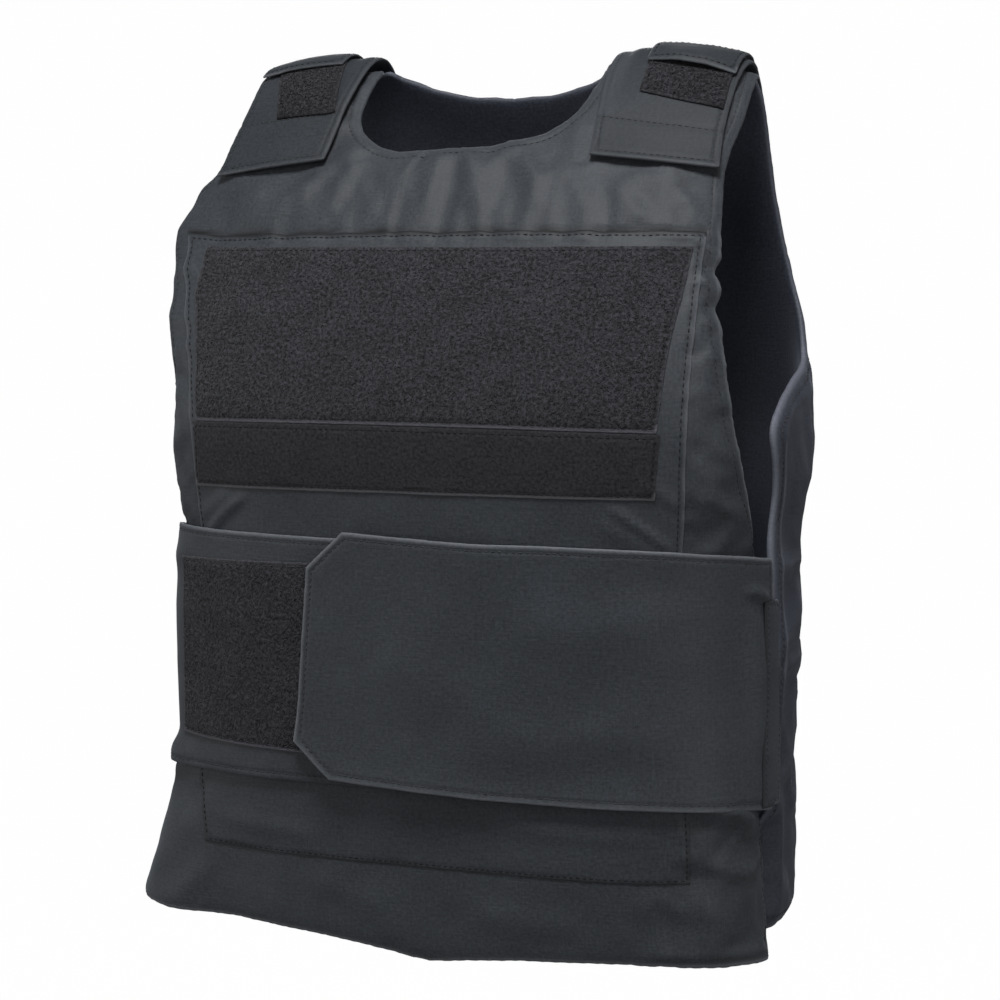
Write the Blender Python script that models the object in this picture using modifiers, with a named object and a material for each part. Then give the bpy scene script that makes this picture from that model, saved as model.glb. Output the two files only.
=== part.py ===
# Padded armour vest with hook-and-loop shoulder straps and two waist wraps.
# Metres, +Z up. The wearer faces -Y, so +X is the wearer's left. The origin is midway between the
# two tops of the shoulders, where the vest rests, and everything else hangs below it.
#
# Every piece is laid out flat on the torso: s is the distance round the body from the centre line,
# positive to the wearer's left, and q is the height up to the chest line and from there the distance
# up over the shoulder. The piece is then wrapped on the torso form and given its thickness.

import bpy
import bmesh
import numpy as np

# Sizes
CHEST_Z = -0.220            # fullest line of the chest; above it the cloth arches over the shoulder
SHOULDER_X = 0.106          # middle of a shoulder strap
SHOULDER_FALL = 2.9         # how fast the shoulder curves down past the middle of the strap
RING_Y = -0.023             # middle of the torso, front to back
ARCH_RISE = 0.30            # how upright the arch leaves the chest
ARCH_ROUND = 0.32           # how round it is on top of the shoulder

PANEL = 0.0080              # padded panels
CLOTH = 0.0015              # sewn-on cloth and loop patches
WRAP = 0.0025               # wraps, two cloths and a stiffener
STRAP = 0.0030
GAP = 0.0006                # clearance between layers
STRAP_GAP = 0.0014          # and under the straps, where they bend over the shoulder

# torso: height, half width, depth to the front, depth to the back, squareness of the section
TORSO = (
    (-0.5455, 0.1820, 0.0935, 0.1020, 3.4),
    (-0.4400, 0.1805, 0.0995, 0.1025, 3.4),
    (-0.3610, 0.1775, 0.1040, 0.1040, 3.4),
    (-0.2905, 0.1795, 0.1080, 0.1065, 3.4),
    (-0.2200, 0.1910, 0.1150, 0.1100, 3.4),
)

# half of the front panel, hem to shoulder: inner edge s, q, outer edge s, q, how much wider the
# wearer's right half is, and how far the middle of the row rises above a straight line
FRONT = (
    (0.0000, -0.5400, 0.2130, -0.5370, 0.000, 0.0080),
    (0.0000, -0.4840, 0.2130, -0.4820, 0.000, 0.0020),
    (0.0000, -0.4225, 0.2140, -0.4225, 0.000, 0.0000),
    (0.0000, -0.3610, 0.2150, -0.3610, 0.000, 0.0000),
    (0.0000, -0.2990, 0.2145, -0.2975, 0.000, 0.0000),
    (0.0000, -0.2510, 0.1985, -0.2465, 0.000, 0.0000),
    (0.0000, -0.2110, 0.1880, -0.2070, 0.000, 0.0000),
    (0.0000, -0.1715, 0.1785, -0.1700, 0.003, 0.0000),
    (0.0000, -0.1275, 0.1720, -0.1340, 0.010, 0.0000),
    (0.0000, -0.0835, 0.1705, -0.1010, 0.020, 0.0000),
    (0.0000, -0.0370, 0.1690, -0.0750, 0.021, 0.0000),
    (0.0195, -0.0380, 0.1680, -0.0660, 0.019, 0.0000),
    (0.0380, -0.0360, 0.1670, -0.0580, 0.014, 0.0000),
    (0.0510, -0.0320, 0.1670, -0.0510, 0.008, 0.0000),
    (0.0625, -0.0245, 0.1680, -0.0420, 0.003, 0.0000),
    (0.0710, -0.0120, 0.1705, -0.0300, 0.000, 0.0000),
    (0.0750, 0.0000, 0.1725, -0.0150, 0.000, 0.0000),
    (0.0765, 0.0195, 0.1730, 0.0025, 0.000, 0.0000),
    (0.0775, 0.0395, 0.1715, 0.0230, 0.000, 0.0000),
)

# half of the back panel, hem to shoulder, measured from the middle of the back
BACK = (
    (0.0000, -0.5280, 0.2690, -0.5220),
    (0.0000, -0.4840, 0.2715, -0.4840),
    (0.0000, -0.4225, 0.2740, -0.4225),
    (0.0000, -0.3610, 0.2740, -0.3610),
    (0.0000, -0.2990, 0.2790, -0.2950),
    (0.0000, -0.2640, 0.2840, -0.2595),
    (0.0000, -0.2305, 0.3000, -0.2220),
    (0.0000, -0.2070, 0.2860, -0.2050),
    (0.0000, -0.1805, 0.2600, -0.1925),
    (0.0000, -0.1495, 0.2180, -0.1780),
    (0.0000, -0.1190, 0.1990, -0.1530),
    (0.0000, -0.0835, 0.1830, -0.1230),
    (0.0000, -0.0485, 0.1740, -0.0900),
    (0.0000, -0.0175, 0.1705, -0.0615),
    (0.0000, -0.0055, 0.1700, -0.0460),
    (0.0265, -0.0035, 0.1700, -0.0335),
    (0.0485, 0.0020, 0.1700, -0.0220),
    (0.0640, 0.0080, 0.1695, -0.0130),
    (0.0740, 0.0130, 0.1680, -0.0070),
    (0.0790, 0.0175, 0.1670, -0.0020),
)

# pieces sewn flat on the front, bottom to top: right edge s, q, then left edge s, q
POCKET = ((-0.1520, -0.2975, 0.1550, -0.2975), (-0.1530, -0.2375, 0.1595, -0.2375),
          (-0.1625, -0.1670, 0.1610, -0.1670), (-0.1780, -0.1020, 0.1615, -0.1015))
LOOP_FIELD = ((-0.1470, -0.2175, 0.1440, -0.2180), (-0.1535, -0.1670, 0.1480, -0.1670),
              (-0.1575, -0.1140, 0.1550, -0.1160))
LOOP_STRIP = ((-0.1500, -0.2540, 0.1420, -0.2540), (-0.1490, -0.2190, 0.1455, -0.2197))
BAND = ((-0.1500, -0.4805, 0.1580, -0.4835), (-0.1600, -0.4200, 0.1570, -0.4200))

# waist wraps, free end first: lower edge s, q, then upper edge s, q, and how far off the torso
WRAP_R = (
    (0.0265, -0.4300, 0.0265, -0.2850, 0.0),
    (-0.0475, -0.4300, -0.0475, -0.2836, 0.0),
    (-0.1320, -0.4325, -0.1320, -0.2820, 0.0),
    (-0.1760, -0.4350, -0.1760, -0.2810, 0.0),
    (-0.2125, -0.4400, -0.2125, -0.2880, 0.0),
)
WRAP_L = (
    (-0.0775, -0.4070, -0.0665, -0.3030, 1.0),
    (-0.0545, -0.4290, -0.0425, -0.2805, 1.0),
    (0.0350, -0.4330, 0.0350, -0.2855, 1.0),
    (0.0835, -0.4350, 0.0835, -0.2868, 0.0),
    (0.1320, -0.4367, 0.1320, -0.2880, 0.0),
    (0.1760, -0.4400, 0.1760, -0.2915, 0.0),
    (0.2125, -0.4450, 0.2125, -0.2955, 0.0),
)
WRAP_PATCH = ((-0.0265, -0.4160, -0.0265, -0.2980), (-0.1600, -0.4130, -0.1600, -0.3005))
SIDE_STRIP = ((0.2010, -0.4435, 0.2210, -0.4435), (0.2030, -0.3190, 0.2230, -0.3190))

# shoulder strap, front end to back end: inner edge s, q, then outer edge s, q
SHOULDER = (
    (0.0870, -0.0475, 0.1632, -0.0590),
    (0.0850, -0.0160, 0.1622, -0.0310),
    (0.0825, 0.0160, 0.1632, 0.0000),
    (0.0815, 0.0510, 0.1650, 0.0335),
    (0.0820, 0.0835, 0.1655, 0.0660),
    (0.0840, 0.1190, 0.1650, 0.1040),
)
STRAP_PATCH = ((0.1080, -0.0015, 0.1590, -0.0180), (0.1080, 0.0200, 0.1590, 0.0060),
               (0.1080, 0.0410, 0.1590, 0.0290))
KEEPER = ((0.1070, 0.0240, 0.1610, 0.0080), (0.1060, 0.0490, 0.1610, 0.0340))
RIGHT_PATCH_IN = 0.018      # the wearer's right patch and tab sit this much nearer the neck

FLARE_R, FLARE_L = 0.048, 0.004     # how far the lower side corners stand off, wearer's right and left
FLARE_TOP, FLARE_LOW = -0.370, -0.541
ARMHOLE_OFF = 0.007                 # how far the wearer's right armhole edge stands off

# how far the back panel's side edges stand off the body, bottom to top: height, distance
SIDE_OFF = ((-0.545, 0.0010), (-0.440, 0.0080), (-0.360, 0.0125), (-0.300, 0.0110), (-0.220, 0.0020),
            (-0.150, 0.0000))


# Torso form
def tangents(rows):
    """Slopes at the rows that never let the curve swing past a row."""
    step = np.diff(rows, axis=0)
    both = step[:-1] * step[1:]
    inner = np.where(both > 0, 2 * both / np.where(both > 0, step[:-1] + step[1:], 1), 0)
    return np.concatenate((step[:1], inner, step[-1:]))


def along(rows, steps):
    """Smooth curve through table rows, with so many steps from each row to the next."""
    rows = np.array(rows, float)
    if isinstance(steps, int):
        steps = (steps,) * (len(rows) - 1)
    x = np.concatenate([k + np.arange(n) / n for k, n in enumerate(steps)] + [[len(steps)]])
    i = np.minimum(x.astype(int), len(rows) - 2)
    f = (x - i)[..., None]
    tangent = tangents(rows)
    return ((2 * f ** 3 - 3 * f ** 2 + 1) * rows[i] + (f ** 3 - 2 * f ** 2 + f) * tangent[i]
            + (3 * f ** 2 - 2 * f ** 3) * rows[i + 1] + (f ** 3 - f ** 2) * tangent[i + 1])


def section(z):
    """Half width, front depth, back depth and squareness of the torso at height z."""
    table = np.array(TORSO)
    tangent = np.gradient(table[:, 1:], table[:, 0], axis=0)
    z = float(np.clip(z, table[0, 0], table[-1, 0]))
    i = min(int(np.searchsorted(table[:, 0], z, side="right")) - 1, len(table) - 2)
    h = table[i + 1, 0] - table[i, 0]
    f = (z - table[i, 0]) / h
    return ((2 * f ** 3 - 3 * f ** 2 + 1) * table[i, 1:] + (f ** 3 - 2 * f ** 2 + f) * h * tangent[i]
            + (3 * f ** 2 - 2 * f ** 3) * table[i + 1, 1:] + (f ** 3 - f ** 2) * h * tangent[i + 1])


def girth_point(s, z, side):
    """X and Y at the distance s round the section at height z, from the middle of the front or back."""
    half, front, back, square = section(z)
    angle = np.linspace(0, np.pi, 361)
    if side == "back":
        angle = angle[::-1]
    x = half * np.abs(np.sin(angle)) ** (2 / square)
    y = np.where(np.cos(angle) >= 0, -front, back) * np.abs(np.cos(angle)) ** (2 / square)
    run = np.concatenate(([0], np.cumsum(np.hypot(np.diff(x), np.diff(y)))))
    return np.sign(s) * np.interp(abs(s), run, x), np.interp(abs(s), run, y) + RING_Y


def torso_point(s, q, side):
    """Point of the torso form for the flat position (s, q)."""
    x, y = girth_point(s, min(q, CHEST_Z), side)
    if q <= CHEST_Z:
        return np.array((x, y, q))
    half, front, back, square = section(CHEST_Z)
    depth = max(1 - (abs(x) / half) ** square, 0) ** (1 / square)
    y_far = RING_Y + back * depth if y < RING_Y else RING_Y - front * depth
    top = -SHOULDER_FALL * max(abs(x) - SHOULDER_X, 0.0) ** 2
    u = np.linspace(0, 1, 49)
    w0, w1, w2, w3 = (1 - u) ** 3, 3 * u * (1 - u) ** 2, 3 * u * u * (1 - u), u ** 3
    rise = CHEST_Z * w0 + (CHEST_Z + ARCH_RISE * (top - CHEST_Z)) * w1 + top * (w2 + w3)
    near, far = (start * (w0 + w1 + ARCH_ROUND * w2) for start in (y, y_far))
    ys = np.concatenate((near, far[-2::-1]))
    zs = np.concatenate((rise, rise[-2::-1]))
    run = np.concatenate(([0], np.cumsum(np.hypot(np.diff(ys), np.diff(zs)))))
    return np.array((x, np.interp(q - CHEST_Z, run, ys), np.interp(q - CHEST_Z, run, zs)))


def smooth_step(t):
    t = min(max(t, 0.0), 1.0)
    return t * t * (3 - 2 * t)


def flare(s, q, side):
    """How far the lower side corners stand off the torso."""
    if side == "back":
        half_girth = 0.490
        round_front, drop = np.sign(s) * (half_girth - abs(s)), max(q, -0.444)
    else:
        round_front, drop = s, q
    amount = FLARE_R if s < 0 else FLARE_L
    depth = min(max((FLARE_TOP - drop) / (FLARE_TOP - FLARE_LOW), 0.0), 1.0) ** 1.5
    near = smooth_step((abs(round_front) - 0.130) / 0.095)
    far = smooth_step((0.326 - abs(round_front)) / 0.08)
    return amount * depth * near * far


def armhole(s, q, side):
    """How far the edge of the wearer's right armhole stands off the torso."""
    if side == "back" or s > 0:
        return 0.0
    return ARMHOLE_OFF * smooth_step((-s - 0.150) / 0.04) * smooth_step((q + 0.19) / 0.07) * smooth_step(
        (-0.05 - q) / 0.03)


def side_off(q):
    """How far the back panel's side edges stand off at the height q."""
    heights, distances = zip(*SIDE_OFF)
    return float(np.interp(q, heights, distances))


def wrapped(s, q, lift, side):
    """Point at the distance lift off the torso form."""
    e = 0.0025
    across = torso_point(s + e, q, side) - torso_point(s - e, q, side)
    up = torso_point(s, q + e, side) - torso_point(s, q - e, side)
    normal = np.cross(across, up) if side == "front" else np.cross(up, across)
    normal = normal / np.linalg.norm(normal)
    return torso_point(s, q, side) + (lift + flare(s, q, side) + armhole(s, q, side)) * normal


# Pieces
def material(name, colour, roughness):
    mat = bpy.data.materials.new(name)
    mat.use_nodes = True
    bsdf = mat.node_tree.nodes["Principled BSDF"]
    bsdf.inputs["Base Color"].default_value = (*colour, 1)
    bsdf.inputs["Roughness"].default_value = roughness
    bsdf.inputs["Metallic"].default_value = 0.0
    return mat


def grid(mesh, rows, steps, fractions, lift, side="front", mirrored=False, adjust=None):
    """Adds one wrapped patch to a bmesh: its rows swept smoothly, its columns straight across."""
    sign = -1 if mirrored else 1
    points = []
    for row in along(rows, steps):
        line = []
        for f in fractions:
            s, q = row[0] + f * (row[2] - row[0]), row[1] + f * (row[3] - row[1])
            if adjust:
                s, q = adjust(s, q, f, row)
            base = lift(s, q, row) if callable(lift) else lift
            line.append(mesh.verts.new(wrapped(sign * s, q, base, side)))
        points.append(line)
    for low, high in zip(points, points[1:]):
        for j in range(len(fractions) - 1):
            mesh.faces.new((low[j], low[j + 1], high[j + 1], high[j]))


def cloth(name, patches, thickness, mat, collection):
    """Makes one named piece from wrapped patches and gives it its thickness outwards."""
    mesh = bmesh.new()
    for patch in patches:
        grid(mesh, **patch)
    bmesh.ops.remove_doubles(mesh, verts=mesh.verts, dist=0.00002)
    bmesh.ops.recalc_face_normals(mesh, faces=mesh.faces)
    away = sum(f.normal.dot((f.calc_center_median().x, f.calc_center_median().y + 0.02, 0.0))
               for f in mesh.faces)
    if away < 0:
        bmesh.ops.reverse_faces(mesh, faces=mesh.faces)
    data = bpy.data.meshes.new(name)
    mesh.to_mesh(data)
    mesh.free()
    data.shade_smooth()
    data.materials.append(mat)
    obj = bpy.data.objects.new(name, data)
    collection.objects.link(obj)
    shell = obj.modifiers.new("Thickness", "SOLIDIFY")
    shell.thickness = thickness
    shell.offset = 1.0
    shell.use_even_offset = True
    return obj


def spread(*runs):
    """Fractions from 0 to 1: each run is where it ends and how many steps it takes."""
    ends = [0.0] + [end for end, n in runs]
    return np.concatenate([a + (b - a) * np.arange(n) / n for a, b, (end, n) in zip(ends, ends[1:], runs)]
                          + [[1.0]])


def build():
    for old in list(bpy.data.objects):
        bpy.data.objects.remove(old, do_unlink=True)
    vest = bpy.data.collections.new("stab_vest")
    bpy.context.scene.collection.children.link(vest)

    nylon = material("nylon_cloth", (0.045, 0.048, 0.054), 0.75)
    side_nylon = material("nylon_cloth_back", (0.036, 0.040, 0.055), 0.70)
    loop = material("loop_pile", (0.022, 0.022, 0.024), 0.95)
    webbing = material("loop_webbing", (0.016, 0.015, 0.018), 0.85)

    on_panel = PANEL + GAP
    on_pocket = on_panel + CLOTH + GAP
    wrap_low = on_pocket
    on_wrap = wrap_low + WRAP + 1.5 * GAP
    wrap_high = on_wrap + CLOTH + GAP
    under_strap = PANEL + STRAP_GAP
    on_strap = under_strap + STRAP + GAP

    # finer where the torso turns into the flank
    half_width = spread((0.5, 4), (1.0, 10))
    full_width = spread((0.2, 6), (0.8, 7), (1.0, 6))

    def left_half(s, q, f, row):
        return s, q + 4 * f * (1 - f) * row[5]

    def right_half(s, q, f, row):
        return s + f * row[4], q + 4 * f * (1 - f) * row[5]

    def flat(rows, steps, fractions, lift, mirrored=False, adjust=None):
        return [dict(rows=rows, steps=steps, fractions=fractions, lift=lift, mirrored=mirrored, adjust=adjust)]

    def clear_of_body(s, q, row):
        """The back panel's side edges come forward clear of the body."""
        return side_off(q) * smooth_step((s - 0.185) / 0.06)

    def wrap_lift(s, q, row):
        """A wrap lies on the front panel and its end rises to be flush with the back panel."""
        return wrap_low + smooth_step((s - 0.180) / 0.0325) * (side_off(q) + PANEL - WRAP - wrap_low)

    def wrap_lift_right(s, q, row):
        return wrap_lift(-s, q, row)

    def raised(s, q, row):
        """The left wrap lies on the right wrap's loop patch and then comes down to the front panel."""
        return wrap_lift(s, q, row) + smooth_step(row[4]) * (wrap_high - wrap_low)

    def strip_lift(s, q, row):
        return wrap_lift(s, q, row) + WRAP + 3 * GAP

    front = dict(rows=FRONT, steps=(3, 3, 2, 2, 2, 4, 4, 3, 3, 3, 1, 1, 1, 1, 1, 1, 2, 2),
                 fractions=half_width, lift=0.0)
    cloth("front_panel", [dict(front, adjust=left_half), dict(front, adjust=right_half, mirrored=True)],
          PANEL, nylon, vest)
    back = dict(rows=BACK, steps=(1, 2, 2, 2, 1, 2, 2, 2, 2, 2, 2, 2, 2, 1, 1, 1, 1, 1, 1),
                fractions=half_width, lift=clear_of_body, side="back")
    cloth("back_panel", [back, dict(back, mirrored=True)], PANEL, side_nylon, vest)
    cloth("chest_pocket", flat(POCKET, (4, 6, 4), full_width, on_panel), CLOTH, nylon, vest)
    cloth("chest_loop_field", flat(LOOP_FIELD, (4, 3), full_width, on_pocket), CLOTH, loop, vest)
    cloth("chest_loop_strip", flat(LOOP_STRIP, 3, full_width, on_pocket), CLOTH, webbing, vest)
    cloth("lower_band", flat(BAND, 4, full_width, on_panel), CLOTH, nylon, vest)

    across = spread((1.0, 4))
    cloth("right_wrap", flat(WRAP_R, (4, 8, 6, 8), across, wrap_lift_right), WRAP, nylon, vest)
    cloth("wrap_loop_patch", flat(WRAP_PATCH, 17, across, on_wrap), CLOTH, loop, vest)
    cloth("left_wrap", flat(WRAP_L, (2, 4, 4, 4, 5, 8), across, raised), WRAP, nylon, vest)

    def nearer_neck(s, q, f, row):
        return s - RIGHT_PATCH_IN, q

    tab = spread((1.0, 6))
    for word, mirrored, place in (("right", True, nearer_neck), ("left", False, None)):
        cloth(word + "_side_strip", flat(SIDE_STRIP, 5, tab, strip_lift, mirrored), CLOTH, side_nylon, vest)
        cloth(word + "_shoulder_strap", flat(SHOULDER, (3, 4, 5, 5, 5), tab, under_strap, mirrored),
              STRAP, nylon, vest)
        cloth(word + "_strap_loop_patch", flat(STRAP_PATCH, (3, 4), tab, on_strap, mirrored, place),
              CLOTH, loop, vest)
        cloth(word + "_keeper_tab", flat(KEEPER, 5, tab, on_strap + CLOTH + GAP, mirrored, place),
              CLOTH, nylon, vest)


build()
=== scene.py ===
import math

import bpy
import numpy as np
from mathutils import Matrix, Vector
from mathutils.kdtree import KDTree

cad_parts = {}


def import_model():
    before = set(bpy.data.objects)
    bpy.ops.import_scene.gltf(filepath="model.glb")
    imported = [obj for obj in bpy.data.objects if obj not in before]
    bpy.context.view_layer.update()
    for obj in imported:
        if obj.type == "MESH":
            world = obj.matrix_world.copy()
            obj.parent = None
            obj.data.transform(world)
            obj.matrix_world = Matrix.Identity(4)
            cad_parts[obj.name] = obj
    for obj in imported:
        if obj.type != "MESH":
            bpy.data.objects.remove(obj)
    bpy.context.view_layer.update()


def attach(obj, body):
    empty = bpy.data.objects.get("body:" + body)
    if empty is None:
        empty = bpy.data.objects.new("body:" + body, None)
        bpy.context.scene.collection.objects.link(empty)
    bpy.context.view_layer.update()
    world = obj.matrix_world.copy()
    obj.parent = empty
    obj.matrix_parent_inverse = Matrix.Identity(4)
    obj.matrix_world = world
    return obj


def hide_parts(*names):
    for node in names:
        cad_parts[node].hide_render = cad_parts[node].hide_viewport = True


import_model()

# Stab vest, as worn. +Z is up and the front faces -Y. Left and right are as worn, so +X is left.
# Every cloth is cut flat: s is the distance round the torso form from the centre line, positive to the
# left, and q is the height up to the chest line and from there the distance over the shoulder.
# Rows and folds are in millimetres, and all other lengths in metres.


# Camera, floor and light
view = {
    "azimuth": 21.5,            # degrees round from straight in front
    "pitch": 4.77,              # degrees down
    "distance": 1.608,
    "middleY": -0.023,
    "height": -0.1346,
    "lens": 91.8,
    "shift": 0.012,
}
stage = {
    "floorZ": -1.30,
    "domeRadius": 9.0,          # a white room round everything, seen by the camera but casting no light
    "domeSteps": 64,
    # out and up, in shares of the radius
    "domeProfile": ((0.02, 0.0), (0.55, 0.0), (0.80, 0.02), (0.93, 0.09), (0.99, 0.24), (1.0, 0.45),
                    (0.86, 0.90), (0.50, 1.2), (0.02, 1.3)),
    "skyStrength": 0.157,
    # name, place, aim, width, watts
    "lamps": (
        ("key", (0.24, -0.93, 1.24), (0.00, -0.10, -0.10), 0.60, 23.5),
        ("leftFill", (-1.9, -1.2, -0.1), (0.0, -0.1, -0.35), 1.0, 9.0),
        ("rightFill", (1.8, -0.9, -0.2), (0.1, -0.1, -0.35), 1.0, 5.5),
        ("backKey", (-0.7, 1.9, 0.25), (0.0, 0.0, -0.25), 1.1, 30.0),
    ),
}


def aim(obj, place, target):
    obj.location = place
    obj.rotation_euler = (Vector(target) - Vector(place)).to_track_quat("-Z", "Y").to_euler()


def setCamera():
    a, p = math.radians(view["azimuth"]), math.radians(view["pitch"])
    data = bpy.data.cameras.new("camera")
    data.lens = view["lens"]
    data.sensor_width = 36
    data.shift_x = view["shift"]
    data.clip_start, data.clip_end = 0.05, 60
    camera = bpy.data.objects.new("camera", data)
    bpy.context.scene.collection.objects.link(camera)
    place = Vector((math.sin(a) * view["distance"], view["middleY"] - math.cos(a) * view["distance"],
                    view["height"]))
    ahead = Vector((-math.sin(a) * math.cos(p), math.cos(a) * math.cos(p), -math.sin(p)))
    aim(camera, place, place + ahead)
    bpy.context.scene.camera = camera


def setLights():
    world = bpy.data.worlds.new("studio")
    world.use_nodes = True
    sky = world.node_tree.nodes["Background"]
    sky.inputs["Color"].default_value = (1, 1, 1, 1)
    sky.inputs["Strength"].default_value = stage["skyStrength"]
    bpy.context.scene.world = world
    for name, place, target, width, watts in stage["lamps"]:
        data = bpy.data.lights.new(name, "AREA")
        data.shape = "DISK"
        data.size = width
        data.energy = watts
        lamp = bpy.data.objects.new(name, data)
        bpy.context.scene.collection.objects.link(lamp)
        aim(lamp, place, target)
    bpy.context.scene.view_settings.view_transform = "Standard"


# Shader graphs
class Wire:
    # One output socket of a node tree. Arithmetic on it adds Math nodes.
    def __init__(self, tree, socket=None):
        self.tree, self.socket = tree, socket

    def put(self, kind, settings=None, inputs=None, output=0):
        made = self.tree.nodes.new(kind)
        for key, value in (settings or {}).items():
            setattr(made, key, value)
        for key, value in (inputs or {}).items():
            if isinstance(value, Wire):
                self.tree.links.new(value.socket, made.inputs[key])
            else:
                made.inputs[key].default_value = value
        return Wire(self.tree, made.outputs[output] if made.outputs else None)

    def calc(self, operation, *values):
        return self.put("ShaderNodeMath", {"operation": operation}, dict(enumerate(values)))

    def __add__(self, other):
        return self.calc("ADD", self, other)

    __radd__ = __add__

    def __mul__(self, other):
        return self.calc("MULTIPLY", self, other)

    __rmul__ = __mul__

    def __sub__(self, other):
        return self.calc("SUBTRACT", self, other)

    def __rsub__(self, other):
        return self.calc("SUBTRACT", other, self)

    def clamp(self):
        return self.put("ShaderNodeClamp", None, {"Value": self})

    def mix(self, factor, low, high):
        return self.put("ShaderNodeMix", {"data_type": "RGBA"}, {"Factor": factor, 6: low, 7: high}, 2)


def finish(name, colours, bump, roughness, sheen, build):
    # one Principled surface; build returns its base colour, roughness and bump height
    material = bpy.data.materials.new(name)
    material.use_nodes = True
    tree = material.node_tree
    tree.nodes.clear()
    wire = Wire(tree)
    colour, rough, height = build(wire, colours, roughness)
    normal = wire.put("ShaderNodeBump", None, {"Height": height, "Strength": bump[0], "Distance": bump[1]})
    surface = wire.put("ShaderNodeBsdfPrincipled", None, {
        "Base Color": colour, "Roughness": rough, "Normal": normal, "Sheen Weight": sheen[0],
        "Sheen Roughness": sheen[1], "Sheen Tint": (*sheen[2], 1), "Specular IOR Level": sheen[3],
        "Emission Color": (1, 1, 1, 1), "Emission Strength": sheen[4] if len(sheen) > 4 else 0.0})
    wire.put("ShaderNodeOutputMaterial", None, {"Surface": surface})
    return material


def cutPlace(wire):
    return wire.put("ShaderNodeUVMap", {"uv_map": "cut"})


def grain(wire, scale, detail=3, rough=0.55, stretch=(1, 1, 1)):
    vector = wire.put("ShaderNodeVectorMath", {"operation": "MULTIPLY"}, {0: cutPlace(wire), 1: stretch})
    return wire.put("ShaderNodeTexNoise", None,
                    {"Vector": vector, "Scale": scale, "Detail": detail, "Roughness": rough})


def paintedLight(wire):
    # the mesh's painted light: above 0 a painted highlight, below 0 painted shade
    return wire.put("ShaderNodeAttribute", {"attribute_name": "paintedLight"}, None, 2)


def threads(wire, scale):
    # long thin streaks of warp and of weft
    return grain(wire, scale, 1, 0.5, (1, 0.09, 1)), grain(wire, scale, 1, 0.5, (0.09, 1, 1))


def edged(wire, colour, colours, specks):
    # edges and fold lines get a painted highlight in the third colour where the painted light is above 0, and
    # seams and grooves get painted shade, near black, where it is below
    paintedTone = (paintedLight(wire) * (0.5 + specks * 0.9)).clamp()
    colour = wire.mix(paintedTone * 0.9, colour, (*colours[2], 1))
    return wire.mix(((0 - paintedLight(wire)) * 0.85).clamp(), colour, (0.005, 0.0055, 0.007, 1))


def nylonLook(wire, colours, roughness):
    patches = grain(wire, 16, 4, 0.65)
    specks = grain(wire, 480, 3, 0.75)
    warp, weft = threads(wire, 900)
    tone = (patches * 0.55 + specks * 1.5 + (warp + weft) * 0.25 - 0.80).clamp()
    colour = edged(wire, wire.mix(tone, (*colours[0], 1), (*colours[1], 1)), colours, specks)
    return colour, (roughness + (specks - 0.5) * 0.22).clamp(), (warp + weft) * 0.40 + specks * 0.5


def pileLook(wire, colours, roughness):
    # curled loops lie in every direction, so pale specks stand on a dark ground
    curls = grain(wire, 430, 3, 0.7)
    fuzz = grain(wire, 760, 3, 0.7)
    mottle = grain(wire, 45, 3, 0.6)
    tone = (curls * 3.2 + fuzz * 1.1 + mottle * 0.6 - 1.98).clamp()
    colour = edged(wire, wire.mix(tone, (*colours[0], 1), (*colours[1], 1)), colours, fuzz)
    return colour, (roughness + (fuzz - 0.5) * 0.1).clamp(), curls * 0.9 + fuzz * 0.6


def tapeLook(wire, colours, roughness):
    warp, weft = threads(wire, 700)
    fuzz = grain(wire, 620, 3, 0.75)
    mottle = grain(wire, 70, 3)
    curls = grain(wire, 520, 2, 0.7)
    tone = (mottle * 0.5 + fuzz * 0.9 + curls * 2.8 - 1.59).clamp()
    colour = edged(wire, wire.mix(tone, (*colours[0], 1), (*colours[1], 1)), colours, fuzz)
    return colour, (roughness + (fuzz - 0.5) * 0.15).clamp(), (warp + weft) * 0.2 + fuzz * 0.7 + curls * 0.4


def threadLook(wire, colours, roughness):
    twist = grain(wire, 1500, 1)
    return wire.mix(twist, (*colours[0], 1), (*colours[1], 1)), roughness, twist


def curlLook(wire, colours, roughness):
    # each loop its own shade
    shade = grain(wire, 240, 1)
    tone = (shade * 2.4 - 0.75).clamp()
    return wire.mix(tone, (*colours[0], 1), (*colours[1], 1)), roughness, shade


def floorLook(wire, colours, roughness):
    cloud = wire.put("ShaderNodeTexNoise", None, {"Scale": 0.7})
    return wire.mix(cloud, (*colours[0], 1), (*colours[1], 1)), roughness, cloud
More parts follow.
